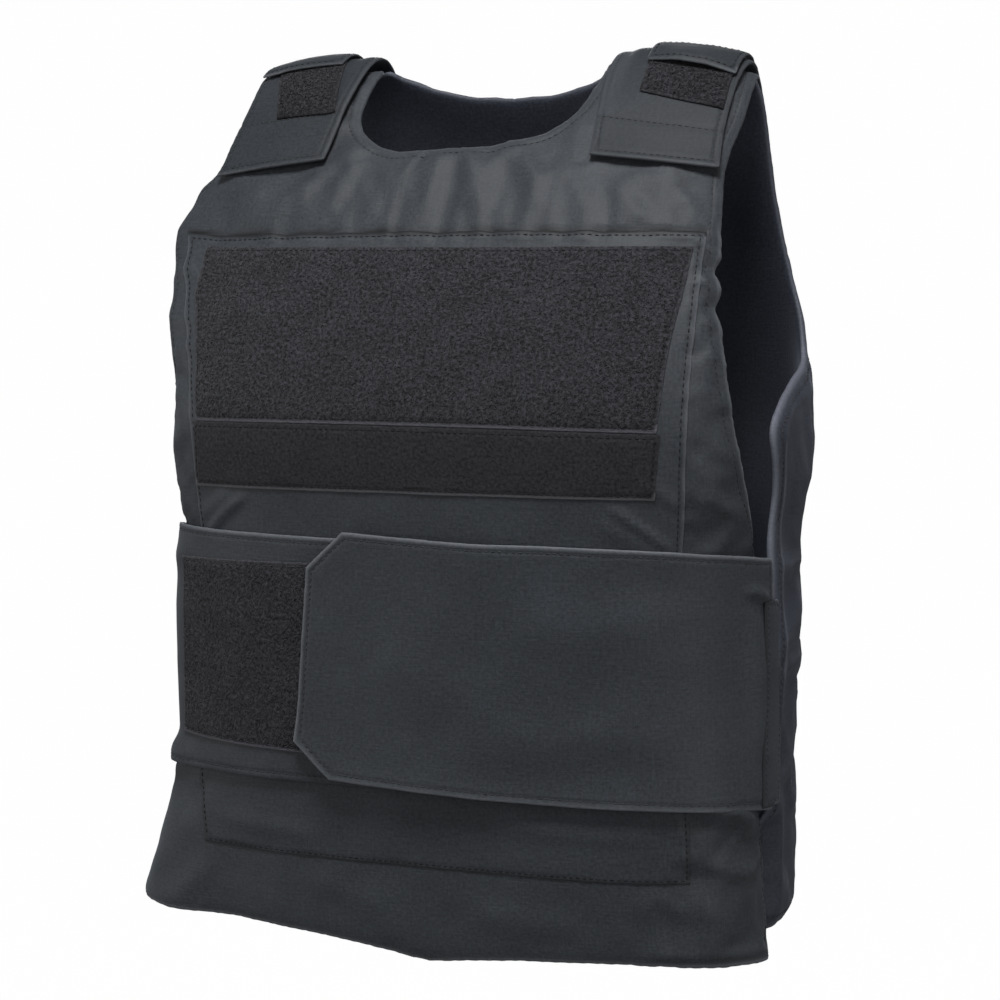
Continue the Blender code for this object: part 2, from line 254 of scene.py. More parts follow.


# name: dark and light colours and the colour of painted highlights on edges, bump strength and depth,
# roughness,
# (sheen weight, its roughness, its tint, specular level and, on paper, its own glow), graph
finishes = {
    "nylonCloth": (((0.014, 0.0165, 0.020), (0.064, 0.073, 0.086), (0.16, 0.17, 0.19)), (0.55, 0.0005), 0.62,
                   (0.10, 0.4, (0.8, 0.88, 1.0), 0.45), nylonLook),
    # a darker copy of the nylon cloth, for painted shade on the straps and keeper tabs
    "strapClothShaded": (((0.010, 0.012, 0.0145), (0.048, 0.055, 0.065), (0.12, 0.128, 0.142)), (0.55, 0.0005),
                   0.62, (0.08, 0.4, (0.8, 0.88, 1.0), 0.35), nylonLook),
    "backCloth": (((0.012, 0.014, 0.022), (0.068, 0.076, 0.106), (0.17, 0.18, 0.22)), (0.55, 0.0005), 0.60,
                  (0.10, 0.4, (0.75, 0.82, 1.0), 0.45), nylonLook),
    "loopPile": (((0.004, 0.004, 0.0048), (0.056, 0.057, 0.067), (0.15, 0.15, 0.175)), (0.8, 0.0009), 0.92,
                 (0.10, 0.6, (1, 1, 1), 0.25), pileLook),
    "loopCurl": (((0.010, 0.010, 0.012), (0.070, 0.071, 0.083), (0, 0, 0)), (0.3, 0.0002), 0.90,
                 (0.10, 0.6, (1, 1, 1), 0.25), curlLook),
    "strapPile": (((0.005, 0.005, 0.0055), (0.048, 0.048, 0.056), (0.09, 0.09, 0.10)), (0.8, 0.0009), 0.94,
                  (0.04, 0.6, (1, 1, 1), 0.15), pileLook),
    "strapCurl": (((0.006, 0.006, 0.007), (0.048, 0.048, 0.055), (0, 0, 0)), (0.3, 0.0002), 0.92,
                  (0.04, 0.6, (1, 1, 1), 0.15), curlLook),
    "loopTape": (((0.009, 0.0086, 0.0105), (0.038, 0.036, 0.042), (0.17, 0.17, 0.19)), (0.6, 0.0006), 0.85,
                 (0.08, 0.5, (1, 1, 1), 0.25), tapeLook),
    "thread": (((0.024, 0.027, 0.032), (0.050, 0.055, 0.064), (0, 0, 0)), (0.3, 0.0001), 0.6,
               (0.03, 0.5, (1, 1, 1), 0.35), threadLook),
    "darkThread": (((0.010, 0.011, 0.013), (0.022, 0.024, 0.028), (0, 0, 0)), (0.3, 0.0001), 0.6,
                   (0.0, 0.5, (1, 1, 1), 0.2), threadLook),
    "paper": (((0.020, 0.020, 0.020), (0.024, 0.024, 0.024), (0, 0, 0)), (0.05, 0.001), 0.9,
              (0.0, 0.5, (1, 1, 1), 0.0, 0.988), floorLook),
}


def makeFinishes():
    return {name: finish(name, colours, bump, rough, sheen, look)
            for name, (colours, bump, rough, sheen, look) in finishes.items()}


# Torso form
torso = {
    # height, half width, depth to the front, depth to the back, squareness
    "rings": (
        (-0.5455, 0.1820, 0.0935, 0.1020, 3.4),
        (-0.4400, 0.1805, 0.0995, 0.1025, 3.4),
        (-0.3610, 0.1775, 0.1040, 0.1040, 3.4),
        (-0.2905, 0.1795, 0.1080, 0.1065, 3.4),
        (-0.2200, 0.1910, 0.1150, 0.1100, 3.4),
    ),
    "middleY": -0.023,
    "chestZ": -0.220,           # above this line the cloth arches over the shoulder
    "shoulderX": 0.106,
    "shoulderFall": 2.9,
    "archRise": 0.30,
    "archRound": 0.32,
    "halfGirth": 0.490,
    "flare": (0.048, 0.004),    # how far the lower corners stand off, right and left
    "flareTop": -0.418,
    "flareLow": -0.541,
    # height, how far the front panel stands off at the right armhole and flank
    "armholeOff": ((-0.541, 0.0016), (-0.494, 0.0026), (-0.475, 0.0037), (-0.457, 0.0050), (-0.439, 0.0062),
                   (-0.426, 0.0064), (-0.415, 0.0044), (-0.396, 0.0054), (-0.370, 0.0064), (-0.335, 0.0060),
                   (-0.300, 0.0036), (-0.282, 0.0006), (-0.250, 0.0), (-0.225, -0.0018), (-0.207, -0.0026),
                   (-0.192, 0.0002), (-0.174, 0.0070), (-0.155, 0.0115), (-0.130, 0.0118), (-0.098, 0.0118),
                   (-0.082, 0.0060), (-0.055, 0.0)),
    # height, how far the back panel's side edges stand off
    "sideOff": ((-0.545, 0.0010), (-0.440, 0.0080), (-0.360, 0.0125), (-0.300, 0.0110), (-0.220, 0.0020),
                (-0.150, 0.0000)),
    "rightSide": 0.5,           # the share of that on the right
    "waist": 0.0025,            # how much fuller the back panel is at the waist
    "waistBand": (-0.345, 0.045),
    "tuck": 0.0065,             # how far its front edge lies in, below the wraps
    # where each of these starts or ends along s or q, and over what distance
    "armholeTo": (-0.145, 0.045),
    "sideFrom": (0.185, 0.06),
    "waistFrom": (0.10, 0.06),
    "tuckFrom": (0.255, 0.015),
    "tuckBelow": (-0.447, 0.012),
    "flareFrom": (0.130, 0.095),
    "flareTo": (0.326, 0.08),
    "flareFall": 1.15,
    "backFlareLow": -0.444,     # the back panel flares no further than at this height
}
ringPoints, archPoints = 2881, 385
formStep = 0.002                # spacing of the table of points on the form
formBefore, formBelow = 3, 285  # table steps before the centre line and below the shoulder
formAcross, formUp = 190, 375
sides = ("front", "back")


def ease(t):
    t = np.clip(t, 0.0, 1.0)
    return t * t * (3 - 2 * t)


def after(x, start, over):
    # 0 before start and 1 from start + over on
    return ease((x - start) / over)


def before(x, end, over):
    # 1 up to end - over and 0 beyond end
    return ease((end - x) / over)


def metres(table):
    # the rows and folds of the pieces are written in millimetres
    return np.array(table, float) / 1000


def bell(x, middle, half):
    # 1 at the middle, falling smoothly on both sides
    return np.exp(-((x - middle) / half) ** 2)


def hermite(low, high, lowSlope, highSlope, f):
    return ((2 * f ** 3 - 3 * f ** 2 + 1) * low + (f ** 3 - 2 * f ** 2 + f) * lowSlope
            + (3 * f ** 2 - 2 * f ** 3) * high + (f ** 3 - f ** 2) * highSlope)


def ringAt(z):
    table = np.array(torso["rings"])
    slope = np.gradient(table[:, 1:], table[:, 0], axis=0)
    slope[-1] = 0               # the sides run smoothly into the arch over the chest
    z = float(np.clip(z, table[0, 0], table[-1, 0]))
    i = min(int(np.searchsorted(table[:, 0], z, side="right")) - 1, len(table) - 2)
    h = table[i + 1, 0] - table[i, 0]
    return hermite(table[i, 1:], table[i + 1, 1:], h * slope[i], h * slope[i + 1], (z - table[i, 0]) / h)


def ringLine(z, side):
    half, front, back, square = ringAt(z)
    angle = np.linspace(0, np.pi, ringPoints)
    if side == "back":
        angle = angle[::-1]
    x = half * np.abs(np.sin(angle)) ** (2 / square)
    y = np.where(np.cos(angle) >= 0, -front, back) * np.abs(np.cos(angle)) ** (2 / square)
    run = np.concatenate(([0], np.cumsum(np.hypot(np.diff(x), np.diff(y)))))
    return run, x, y + torso["middleY"]


def archLine(x, y):
    # up from the chest line on one side of the form and down to it on the other
    chest, middle = torso["chestZ"], torso["middleY"]
    half, front, back, square = ringAt(chest)
    depth = max(1 - (abs(x) / half) ** square, 0) ** (1 / square)
    far = middle + back * depth if y < middle else middle - front * depth
    top = -torso["shoulderFall"] * max(abs(x) - torso["shoulderX"], 0.0) ** 2
    u = np.linspace(0, 1, archPoints)
    w0, w1, w2, w3 = (1 - u) ** 3, 3 * u * (1 - u) ** 2, 3 * u * u * (1 - u), u ** 3
    rise = chest * w0 + (chest + torso["archRise"] * (top - chest)) * w1 + top * (w2 + w3)
    near, farther = (start * (w0 + w1 + torso["archRound"] * w2) for start in (y, far))
    ys = np.concatenate((near, farther[-2::-1]))
    zs = np.concatenate((rise, rise[-2::-1]))
    return np.concatenate(([0], np.cumsum(np.hypot(np.diff(ys), np.diff(zs))))), ys, zs


def makeForm(side):
    reach = np.arange(-formBefore, formAcross) * formStep
    heights = np.arange(-formBelow, formUp - formBelow) * formStep
    points = np.zeros((len(heights), len(reach), 3))
    chest = torso["chestZ"]
    for i, q in enumerate(heights):
        run, x, y = ringLine(min(q, chest), side)
        points[i, :, 0] = np.sign(reach) * np.interp(abs(reach), run, x)
        points[i, :, 1] = np.interp(abs(reach), run, y)
        points[i, :, 2] = q
    above = heights > chest
    chestRow = int(np.argmax(above))
    for j in range(len(reach)):
        x, y = points[chestRow, j, :2]
        run, ys, zs = archLine(x, y)
        points[above, j, 1] = np.interp(heights[above] - chest, run, ys)
        points[above, j, 2] = np.interp(heights[above] - chest, run, zs)
    normal = np.cross(np.gradient(points, axis=1), np.gradient(points, axis=0))
    if side == "back":
        normal = -normal
    normal /= np.linalg.norm(normal, axis=2, keepdims=True)
    return np.concatenate((points, normal), axis=2)


def cubicWeights(t):
    return np.stack((-t / 2 + t * t - t ** 3 / 2, 1 - 2.5 * t * t + 1.5 * t ** 3,
                     t / 2 + 2 * t * t - 1.5 * t ** 3, (t ** 3 - t * t) / 2), -1)


def formAt(side, reach, q):
    table = forms[side]
    u, v = reach / formStep + formBefore, q / formStep + formBelow
    j = np.clip(np.floor(u).astype(int), 1, table.shape[1] - 3)
    i = np.clip(np.floor(v).astype(int), 1, table.shape[0] - 3)
    wu, wv = cubicWeights(u - j), cubicWeights(v - i)
    out = np.zeros((len(u), 6))
    for m in range(4):
        for n in range(4):
            out += (wv[:, m] * wu[:, n])[:, None] * table[i + m - 1, j + n - 1]
    return out[:, :3], out[:, 3:]


def standOff(s, q, side):
    # how far the cloth hangs clear of the form, besides its own layers
    if side == "back":
        heights, distances = zip(*torso["sideOff"])
        off = np.interp(q, heights, distances) * after(abs(s), *torso["sideFrom"])
        off = off * np.where(s < 0, torso["rightSide"], 1.0)
        middle, half = torso["waistBand"]
        off += torso["waist"] * bell(q, middle, half) * after(abs(s), *torso["waistFrom"])
        off -= torso["tuck"] * after(abs(s), *torso["tuckFrom"]) * before(q, *torso["tuckBelow"]) * (s > 0)
        reach, drop = torso["halfGirth"] - abs(s), np.maximum(q, torso["backFlareLow"])
    else:
        off = np.interp(q, *zip(*torso["armholeOff"])) * before(s, *torso["armholeTo"])
        reach, drop = abs(s), q
    amount = np.where(s < 0, *torso["flare"])
    top, low = torso["flareTop"], torso["flareLow"]
    depth = np.clip((top - drop) / (top - low), 0, 1) ** torso["flareFall"]
    return off + amount * depth * after(reach, *torso["flareFrom"]) * before(reach, *torso["flareTo"])


def place(s, q, lift, side="front"):
    # the point in space of the flat point (s, q), that far off the form
    point, normal = formAt(side, abs(s), q)
    out = point + (lift + standOff(s, q, side))[:, None] * normal
    out[:, 0] *= np.where(s < 0, -1, 1)
    return out


def facing(s, q, lift, side="front"):
    # unit vectors across, up and outwards at flat points
    e = 0.0005
    across = place(s + e, q, lift, side) - place(s - e, q, lift, side)
    up = place(s, q + e, lift, side) - place(s, q - e, lift, side)
    out = np.cross(across, up) * (1 if side == "front" else -1)
    return [v / np.linalg.norm(v, axis=1, keepdims=True) for v in (across, up, out)]


# Flat nets
edgePitch = 0.0006              # spacing of the points that stand for a net's edge


def alongRows(rows, x):
    # smooth curve through table rows at the row numbers x, which never swings past a row
    rows = np.array(rows, float)
    step = np.diff(rows, axis=0)
    both = step[:-1] * step[1:]
    inner = np.where(both > 0, 2 * both / np.where(both > 0, step[:-1] + step[1:], 1), 0)
    slope = np.concatenate((step[:1], inner, step[-1:]))
    i = np.minimum(x.astype(int), len(rows) - 2)
    return hermite(rows[i], rows[i + 1], slope[i], slope[i + 1], (x - i)[:, None])


def divide(length, fine, coarse, margin, ends=(True, True)):
    # fractions from 0 to 1, finer near the ends that are sewn
    stops = [0.0]
    while stops[-1] < length:
        near = min(stops[-1] if ends[0] else 1.0, length - stops[-1] if ends[1] else 1.0)
        stops.append(stops[-1] + fine + (coarse - fine) * float(ease((near - margin) / margin)))
    return np.array(stops) / stops[-1]


def rowWidth(rows):
    table = metres(rows)
    return np.hypot(*(table[:, 2:4] - table[:, :2]).T).max()


def patch(rows, upDivision, acrossDivision, mirrored=False, shape=None, paceRows=None, wideRows=None):
    # rows: start s, q, end s, q and any further columns; returns grids of s and q
    # paceRows and wideRows are the rows that the divisions are worked out on, for a patch that meets another
    table = metres(rows)
    pace = table if paceRows is None else metres(paceRows)
    gaps = (np.hypot(*np.diff(pace[:, :2], axis=0).T) + np.hypot(*np.diff(pace[:, 2:4], axis=0).T)) / 2
    run = np.concatenate(([0], np.cumsum(gaps)))
    x = np.interp(divide(run[-1], *upDivision) * run[-1], run, np.arange(len(table)))
    f = divide(rowWidth(wideRows or rows), *acrossDivision)[None, :]
    lines = alongRows(table, x)[:, :, None]
    s = lines[:, 0] + f * (lines[:, 2] - lines[:, 0])
    q = lines[:, 1] + f * (lines[:, 3] - lines[:, 1])
    if shape:
        s, q = shape(s, q, f, lines)
    return (-s if mirrored else s), q


def sew(patches, side="front"):
    # joins patches into one net: its points, its faces, and how far each point is from the edge
    flat = np.concatenate([np.stack((s.ravel(), q.ravel()), 1) for s, q in patches])
    _, first, same = np.unique(np.round(flat * 1e6).astype(np.int64), axis=0, return_index=True,
                               return_inverse=True)
    same = same.ravel()
    faces, start = [], 0
    for s, q in patches:
        index = same[start + np.arange(s.size)].reshape(s.shape)
        corners = (index[:-1, :-1], index[:-1, 1:], index[1:, 1:], index[1:, :-1])
        faces.append(np.stack(corners, -1).reshape(-1, 4))
        start += s.size
    faces = np.concatenate(faces)
    points = flat[first]
    corner = points[faces]
    area = np.sum(corner[:, :, 0] * np.roll(corner[:, :, 1], -1, 1) - np.roll(corner[:, :, 0], -1, 1)
                  * corner[:, :, 1], axis=1) / 2
    turned = (area < 0) == (side == "front")
    faces[turned] = faces[turned][:, ::-1]
    net = {"s": points[:, 0], "q": points[:, 1], "faces": faces, "side": side,
           "area": float(abs(area).sum())}
    a, b = faces.ravel(), np.roll(faces, -1, 1).ravel()
    ahead, back = a.astype(np.int64) * len(points) + b, b.astype(np.int64) * len(points) + a
    edge = ~np.isin(ahead, back)
    following = dict(zip(a[edge].tolist(), b[edge].tolist()))
    loop = [int(a[edge][0])]
    while following[loop[-1]] != loop[0]:
        loop.append(following[loop[-1]])
        if len(loop) > len(following):
            raise ValueError("the net has a slit or a hole")
    net["rim"] = np.array(loop)
    rim = points[net["rim"]]
    net["outward"] = outwardOf(rim, side)
    net["edge"] = alongPath(np.concatenate((rim, rim[:1])), edgePitch)
    net["dist"], net["run"] = fromEdge(net, net["s"], net["q"])
    return net


def outwardOf(loop, side):
    # unit vectors that point out of a closed flat path
    tangent = np.roll(loop, -1, 0) - np.roll(loop, 1, 0)
    tangent /= np.maximum(np.linalg.norm(tangent, axis=1, keepdims=True), 1e-9)
    return np.stack((tangent[:, 1], -tangent[:, 0]), 1) * (1 if side == "front" else -1)


def alongPath(path, pitch):
    # points on a flat path, evenly spaced
    run = np.concatenate(([0], np.cumsum(np.hypot(*np.diff(path, axis=0).T))))
    at = np.linspace(0, run[-1], max(int(round(run[-1] / pitch)), 1) + 1)
    return np.stack((np.interp(at, run, path[:, 0]), np.interp(at, run, path[:, 1])), 1)


def treeOf(s, q):
    # search tree of flat points
    tree = KDTree(len(s))
    for i, (x, y) in enumerate(zip(s.tolist(), q.tolist())):
        tree.insert((x, y, 0), i)
    tree.balance()
    return tree


def nearest(tree, s, q):
    # for flat points: which point of the tree is nearest, and how far it is
    found = [tree.find((x, y, 0))[1:] for x, y in zip(s.tolist(), q.tolist())]
    return np.array([f[0] for f in found]), np.array([f[1] for f in found])


def fromEdge(net, s, q):
    # distance of flat points from the net's edge, and how far along the edge that is
    which, dist = nearest(treeOf(*net["edge"].T), s, q)
    return dist, which * edgePitch


noiseCells = 64                 # the noise repeats after this many cells


def noise(s, q, cell, seed):
    # smooth seeded noise from -1 to 1 with cells of that size
    values = np.random.default_rng(seed).uniform(-1, 1, (noiseCells, noiseCells))
    x, y = s / cell + 31.7, q / cell + 17.3                # off the centre line, where the cells would show
    i, j = np.floor(x).astype(int), np.floor(y).astype(int)
    fx, fy = ease(x - i), ease(y - j)
    corner = [values[(i + a) % noiseCells, (j + b) % noiseCells] for a in (0, 1) for b in (0, 1)]
    return ((1 - fx) * ((1 - fy) * corner[0] + fy * corner[1])
            + fx * ((1 - fy) * corner[2] + fy * corner[3]))


def waves(s, q, *table):
    # unevenness of the cloth: cell, height, seed
    return sum(noise(s, q, cell, seed) * height for cell, height, seed in table)


foldFade = 0.3                  # the share of a fold's length over which each end fades


def folds(s, q, table):
    # height of soft ridges and creases: from s, q, to s, q, bend, half width, height
    lift = np.zeros(len(s))
    for s0, q0, s1, q1, bend, width, height in metres(table):
        length = math.hypot(s1 - s0, q1 - q0)
        x, y = (s1 - s0) / length, (q1 - q0) / length
        u = ((s - s0) * x + (q - q0) * y) / length
        v = (q - q0) * x - (s - s0) * y - bend * 4 * u * (1 - u)
        lift += height * bell(v, 0, width) * after(u, 0, foldFade) * before(u, 1, foldFade)
    return lift


def pillow(dist, width):
    # rises from a sewn edge to 1, steep first and then level
    t = np.clip(dist / width, 0, 1)
    return np.sqrt(1 - (1 - t) ** 2)


def groove(dist, inset, width, depth):
    # the line that a row of stitches draws into the cloth
    return -depth * bell(dist, inset, width)


def gathers(net, *table):
    # small gathers that run in from a sewn edge: cell, reach, height, seed
    run, dist = net["run"], net["dist"]
    return sum(height * noise(run, 0 * run, cell, seed) * np.exp(-dist / reach)
               for cell, reach, height, seed in table)


# Padding
coverCloth = {
    "vertex_group_mass": "pins",
    "quality": 5,
    "mass": 0.25,
    "tension_stiffness": 20,
    "compression_stiffness": 20,
    "shear_stiffness": 8,
    "bending_stiffness": 0.6,
    "use_pressure": True,
}
blow = {
    "frames": 20,
    "pinned": 0.004,            # the cover is pinned this far in from its seams
    "grip": 1.2,                # and where the cloth is free, its hold is this less 1
    "slack": 0.02,              # a weaker hold than this counts as none
}
carryFrom = 12                  # coarse points that a fine one takes its value from


def swelling(patches, net, free, puff):
    # how far the cloth over the filling rises where it is free: a coarse cover is pinned at its seams and
    # under what is sewn to it, blown up a little, and its rise is carried over to the fine net
    side = net["side"]
    coarse = sew(patches, side)
    s, q, rim = coarse["s"], coarse["q"], coarse["rim"]
    count = len(s)
    level = layer["panel"] * 0.5 * (1 + pillow(coarse["dist"], panelEdge["puffWidth"]))
    start = place(s, q, level, side)
    points = np.concatenate((start, place(s, q, np.zeros(count), side)))
    wall = np.stack((np.roll(rim, -1), rim, rim + count, np.roll(rim, -1) + count), 1)
    quads = np.concatenate((coarse["faces"], coarse["faces"][:, ::-1] + count, wall))
    cover = meshObject("cover", points, quads, looks["nylonCloth"])
    near, _ = nearest(treeOf(net["s"], net["q"]), s, q)
    held = np.clip(blow["grip"] - free[near], 0, 1)
    held[coarse["dist"] < blow["pinned"]] = 1.0
    pins = cover.vertex_groups.new(name="pins")
    for i, weight in enumerate(held.tolist()):
        if weight > blow["slack"]:
            pins.add([i], weight if weight < 1 - blow["slack"] else 1.0, "REPLACE")
    pins.add(list(range(count, 2 * count)), 1.0, "REPLACE")
    cloth = cover.modifiers.new("cloth", "CLOTH")
    for setting, value in coverCloth.items():
        setattr(cloth.settings, setting, value)
    cloth.settings.shrink_min = -puff["swell"]
    cloth.settings.uniform_pressure_force = puff["pressure"]
    cloth.settings.effector_weights.gravity = 0
    cloth.collision_settings.use_collision = False
    cloth.point_cache.frame_start, cloth.point_cache.frame_end = 1, blow["frames"]
    scene = bpy.context.scene
    for frameNow in range(1, blow["frames"] + 1):
        scene.frame_set(frameNow)
    blown = cover.evaluated_get(bpy.context.evaluated_depsgraph_get())
    found = np.empty(2 * count * 3, np.float32)
    blown.data.vertices.foreach_get("co", found)
    ended = found.reshape(-1, 3)[:count]
    scene.frame_set(1)
    data = cover.data
    bpy.data.objects.remove(cover)
    bpy.data.meshes.remove(data)
    out = facing(s, q, level, side)[2]
    rise = np.sum((ended - start) * out, axis=1)
    rise = np.clip(rise, puff["least"], puff["most"]) * (1 - held)
    print("blew up the", side, "panel: rise", round(float(rise.min()), 4), "to", round(float(rise.max()), 4))
    return carried(coarse, rise, net, puff["spacing"]) * free


def carried(coarse, values, net, spacing):
    # smooth values of a coarse net at the points of a fine one
    tree = treeOf(coarse["s"], coarse["q"])
    found = [tree.find_n((x, y, 0), carryFrom) for x, y in zip(net["s"].tolist(), net["q"].tolist())]
    index = np.array([[f[1] for f in row] for row in found])
    weight = np.exp(-(np.array([[f[2] for f in row] for row in found]) / (0.62 * spacing)) ** 2) + 1e-9
    return np.sum(values[index] * weight, axis=1) / weight.sum(axis=1)


# Meshes
def meshObject(name, points, quads, material, tris=None, cut=None, paintedLightOf=None):
    mesh = bpy.data.meshes.new(name)
    corners = quads.ravel() if tris is None else np.concatenate((quads.ravel(), tris.ravel()))
    starts = np.arange(len(quads)) * 4
    if tris is not None:
        starts = np.concatenate((starts, len(quads) * 4 + np.arange(len(tris)) * 3))
    mesh.vertices.add(len(points))
    mesh.vertices.foreach_set("co", points.astype(np.float32).ravel())
    mesh.loops.add(len(corners))
    mesh.loops.foreach_set("vertex_index", corners.astype(np.int32))
    mesh.polygons.add(len(starts))
    mesh.polygons.foreach_set("loop_start", starts.astype(np.int32))
    mesh.update(calc_edges=True)
    mesh.shade_smooth()
    if cut is not None:
        mesh.uv_layers.new(name="cut").data.foreach_set("uv", cut[corners].astype(np.float32).ravel())
    # painted highlight and painted shade, one value for each point
    if paintedLightOf is not None:
        mesh.attributes.new("paintedLight", "FLOAT", "POINT").data.foreach_set("value", paintedLightOf.astype(np.float32))
    mesh.materials.append(material)
    obj = bpy.data.objects.new(name, mesh)
    bpy.context.scene.collection.objects.link(obj)
    return obj


# painted highlight and painted shade along edges and seams
paintedEdgeShading = {
    "paleReach": 0.0009,        # how far in from an edge a painted highlight reaches
    "shadeReach": 0.0018,       # and how far in painted shade reaches
    "seamShade": 0.20,
    "endTones": (0.006, 0.004), # height of the tones at a top or bottom edge, and over what they fade
}


def shell(name, net, outer, inner, finishName, seam=None, edgeTone=1.0, tone=0.0, rimRows=3):
    # a closed cloth: its face, its inner side and a rounded edge between them
    # tones are painted light: above 0 a painted highlight, below 0 painted shade; edgeTone is a number or one
    # for each point
    side, rim = net["side"], net["rim"]
    s, q = net["s"], net["q"]
    layers = [place(s, q, outer, side), place(s, q, inner, side)]
    cuts = [np.stack((s, q), 1)] * 2
    middle, half = (outer[rim] + inner[rim]) / 2, (outer[rim] - inner[rim]) / 2
    for k in range(1, rimRows + 1):
        angle = math.pi * k / (rimRows + 1)
        push = half * math.sin(angle)
        rs, rq = s[rim] + net["outward"][:, 0] * push, q[rim] + net["outward"][:, 1] * push
        layers.append(place(rs, rq, middle + half * math.cos(angle), side))
        cuts.append(np.stack((rs, rq), 1))
    count = len(s)
    quads = [net["faces"], net["faces"][:, ::-1] + count]
    rings = [rim] + [2 * count + k * len(rim) + np.arange(len(rim)) for k in range(rimRows)] + [rim + count]
    for high, low in zip(rings, rings[1:]):
        quads.append(np.stack((np.roll(high, -1), high, low, np.roll(low, -1)), 1))
    edgeTone = np.broadcast_to(np.asarray(edgeTone, float), (count,))
    # painted light that fades in from the edge: a highlight where edgeTone is above 0, shade where it is
    # below
    reach = np.where(edgeTone > 0, paintedEdgeShading["paleReach"], paintedEdgeShading["shadeReach"])
    paintedTone = edgeTone * np.exp(-net["dist"] / reach) + tone
    if seam:
        # painted shade along the seam's groove
        paintedTone = paintedTone - paintedEdgeShading["seamShade"] * bell(net["dist"], *seam[:2])
    paintedLightOf = np.concatenate((paintedTone, np.zeros(count), np.tile(edgeTone[rim], rimRows)))
    obj = meshObject(name, np.concatenate(layers), np.concatenate(quads), looks[finishName],
                     cut=np.concatenate(cuts), paintedLightOf=paintedLightOf)
    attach(obj, "root")
    print("made", name, sum(len(f) for f in quads) * 2, "triangles")
    return {"obj": obj, "net": net, "outer": outer, "inner": inner, "tree": treeOf(s, q)}


def liftOn(piece, s, q):
    # height of a piece's face at flat points near it
    out = np.empty(len(s))
    lifts = piece["outer"]
    for k, (x, y) in enumerate(zip(s.tolist(), q.tolist())):
        near = piece["tree"].find_n((x, y, 0), 4)
        weights = [1 / (d + 1e-5) ** 2 for _, _, d in near]
        out[k] = sum(w * lifts[i] for w, (_, i, _) in zip(weights, near)) / sum(weights)
    return out


# Stitches
stitch = {
    "length": 0.0028,
    "gap": 0.0011,
    "radius": 0.00034,
    "proud": 0.00012,           # how far the middle of a stitch stands out of the cloth
    "sunk": 0.00035,            # and how far its ends go in
    "corners": 5,
    # along the stitch: place, height, thickness
    "profile": ((-0.50, -1.0, 0.0), (-0.36, -0.1, 0.9), (0.0, 1.0, 1.0), (0.36, -0.1, 0.9),
                (0.50, -1.0, 0.0)),
    "pathPitch": 0.0008,        # spacing of the points of a path
    "break": 0.004,             # a wider gap than this ends a path
    "fewest": 6,                # shorter paths than this many points are not sewn
}


def inset(net, depth, keep=None):
    # flat paths at that depth inside a net's edge, only where keep(s, q) is true
    rim = np.stack((net["s"], net["q"]), 1)[net["rim"]]
    loop = alongPath(np.concatenate((rim, rim[:1])), stitch["pathPitch"])
    path = loop - outwardOf(loop, net["side"]) * depth
    dist, _ = fromEdge(net, path[:, 0], path[:, 1])
    good = dist > depth * 0.97                          # paths cross at an inner corner, and are cut there
    if keep:
        good &= keep(path[:, 0], path[:, 1])
    path = path[good]
    breaks = np.flatnonzero(np.hypot(*np.diff(path, axis=0).T) > max(3 * depth, stitch["break"])) + 1
    return [piece for piece in np.split(path, breaks) if len(piece) > stitch["fewest"]]


def copies(quads, tris, count, per):
    # the faces of that many copies of a small form with per points each
    offset = (np.arange(count) * per)[:, None, None]
    return (np.array(quads)[None] + offset).reshape(-1, 4), (np.array(tris)[None] + offset).reshape(-1, 3)


def sewPaths(name, host, paths, threadName="thread"):
    pitch = stitch["length"] + stitch["gap"]
    centre, along = [], []
    for path in paths:
        line = alongPath(np.array(path, float), pitch / 4)
        middle = line[2:-2:4]
        direction = line[3:-1:4][:len(middle)] - line[1:-3:4][:len(middle)]
        centre.append(middle[:len(direction)])
        along.append(direction / np.maximum(np.linalg.norm(direction, axis=1, keepdims=True), 1e-9))
    centre, along = np.concatenate(centre), np.concatenate(along)
    side = host["net"]["side"]
    lift = liftOn(host, centre[:, 0], centre[:, 1])
    across, up, out = facing(centre[:, 0], centre[:, 1], lift, side)
    point = place(centre[:, 0], centre[:, 1], lift, side)
    run = along[:, :1] * across + along[:, 1:] * up
    sideways = np.cross(out, run)
    corners = stitch["corners"]
    points = []
    for spot, height, thick in stitch["profile"]:
        middle = point + run * (spot * stitch["length"])
        middle = middle + out * (stitch["proud"] if height > 0 else 0) + out * min(height, 0) * stitch["sunk"]
        ring = [middle] if thick == 0 else [
            middle + thick * stitch["radius"] * (math.cos(a) * sideways + math.sin(a) * out)
            for a in np.arange(corners) * 2 * math.pi / corners]
        points.append(np.stack(ring, 1))
    per = 2 + 3 * corners
    quads, tris = [], []
    for k in range(corners):
        n = (k + 1) % corners
        tris.append((0, 1 + n, 1 + k))
        tris.append((per - 1, per - 1 - corners + k, per - 1 - corners + n))
        for a in (1, 1 + corners):
            quads.append((a + k, a + n, a + corners + n, a + corners + k))
    quads, tris = copies(quads, tris, len(centre), per)
    obj = meshObject(name, np.concatenate(points, 1).reshape(-1, 3), quads, looks[threadName], tris,
                     np.repeat(centre, per, axis=0))
    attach(obj, "root")
    print("sewed", name, len(centre), "stitches")
    return obj


# Loop pile
loops = {
    "wide": (0.0006, 0.0014),
    "tall": (0.0004, 0.0010),
    "radius": 0.00019,
    "root": 0.0002,             # how deep its ends stand in the cloth
    "segments": 4,
    "corners": 3,
    "onNet": 0.004,             # loops farther than this from the patch's net are left out
}


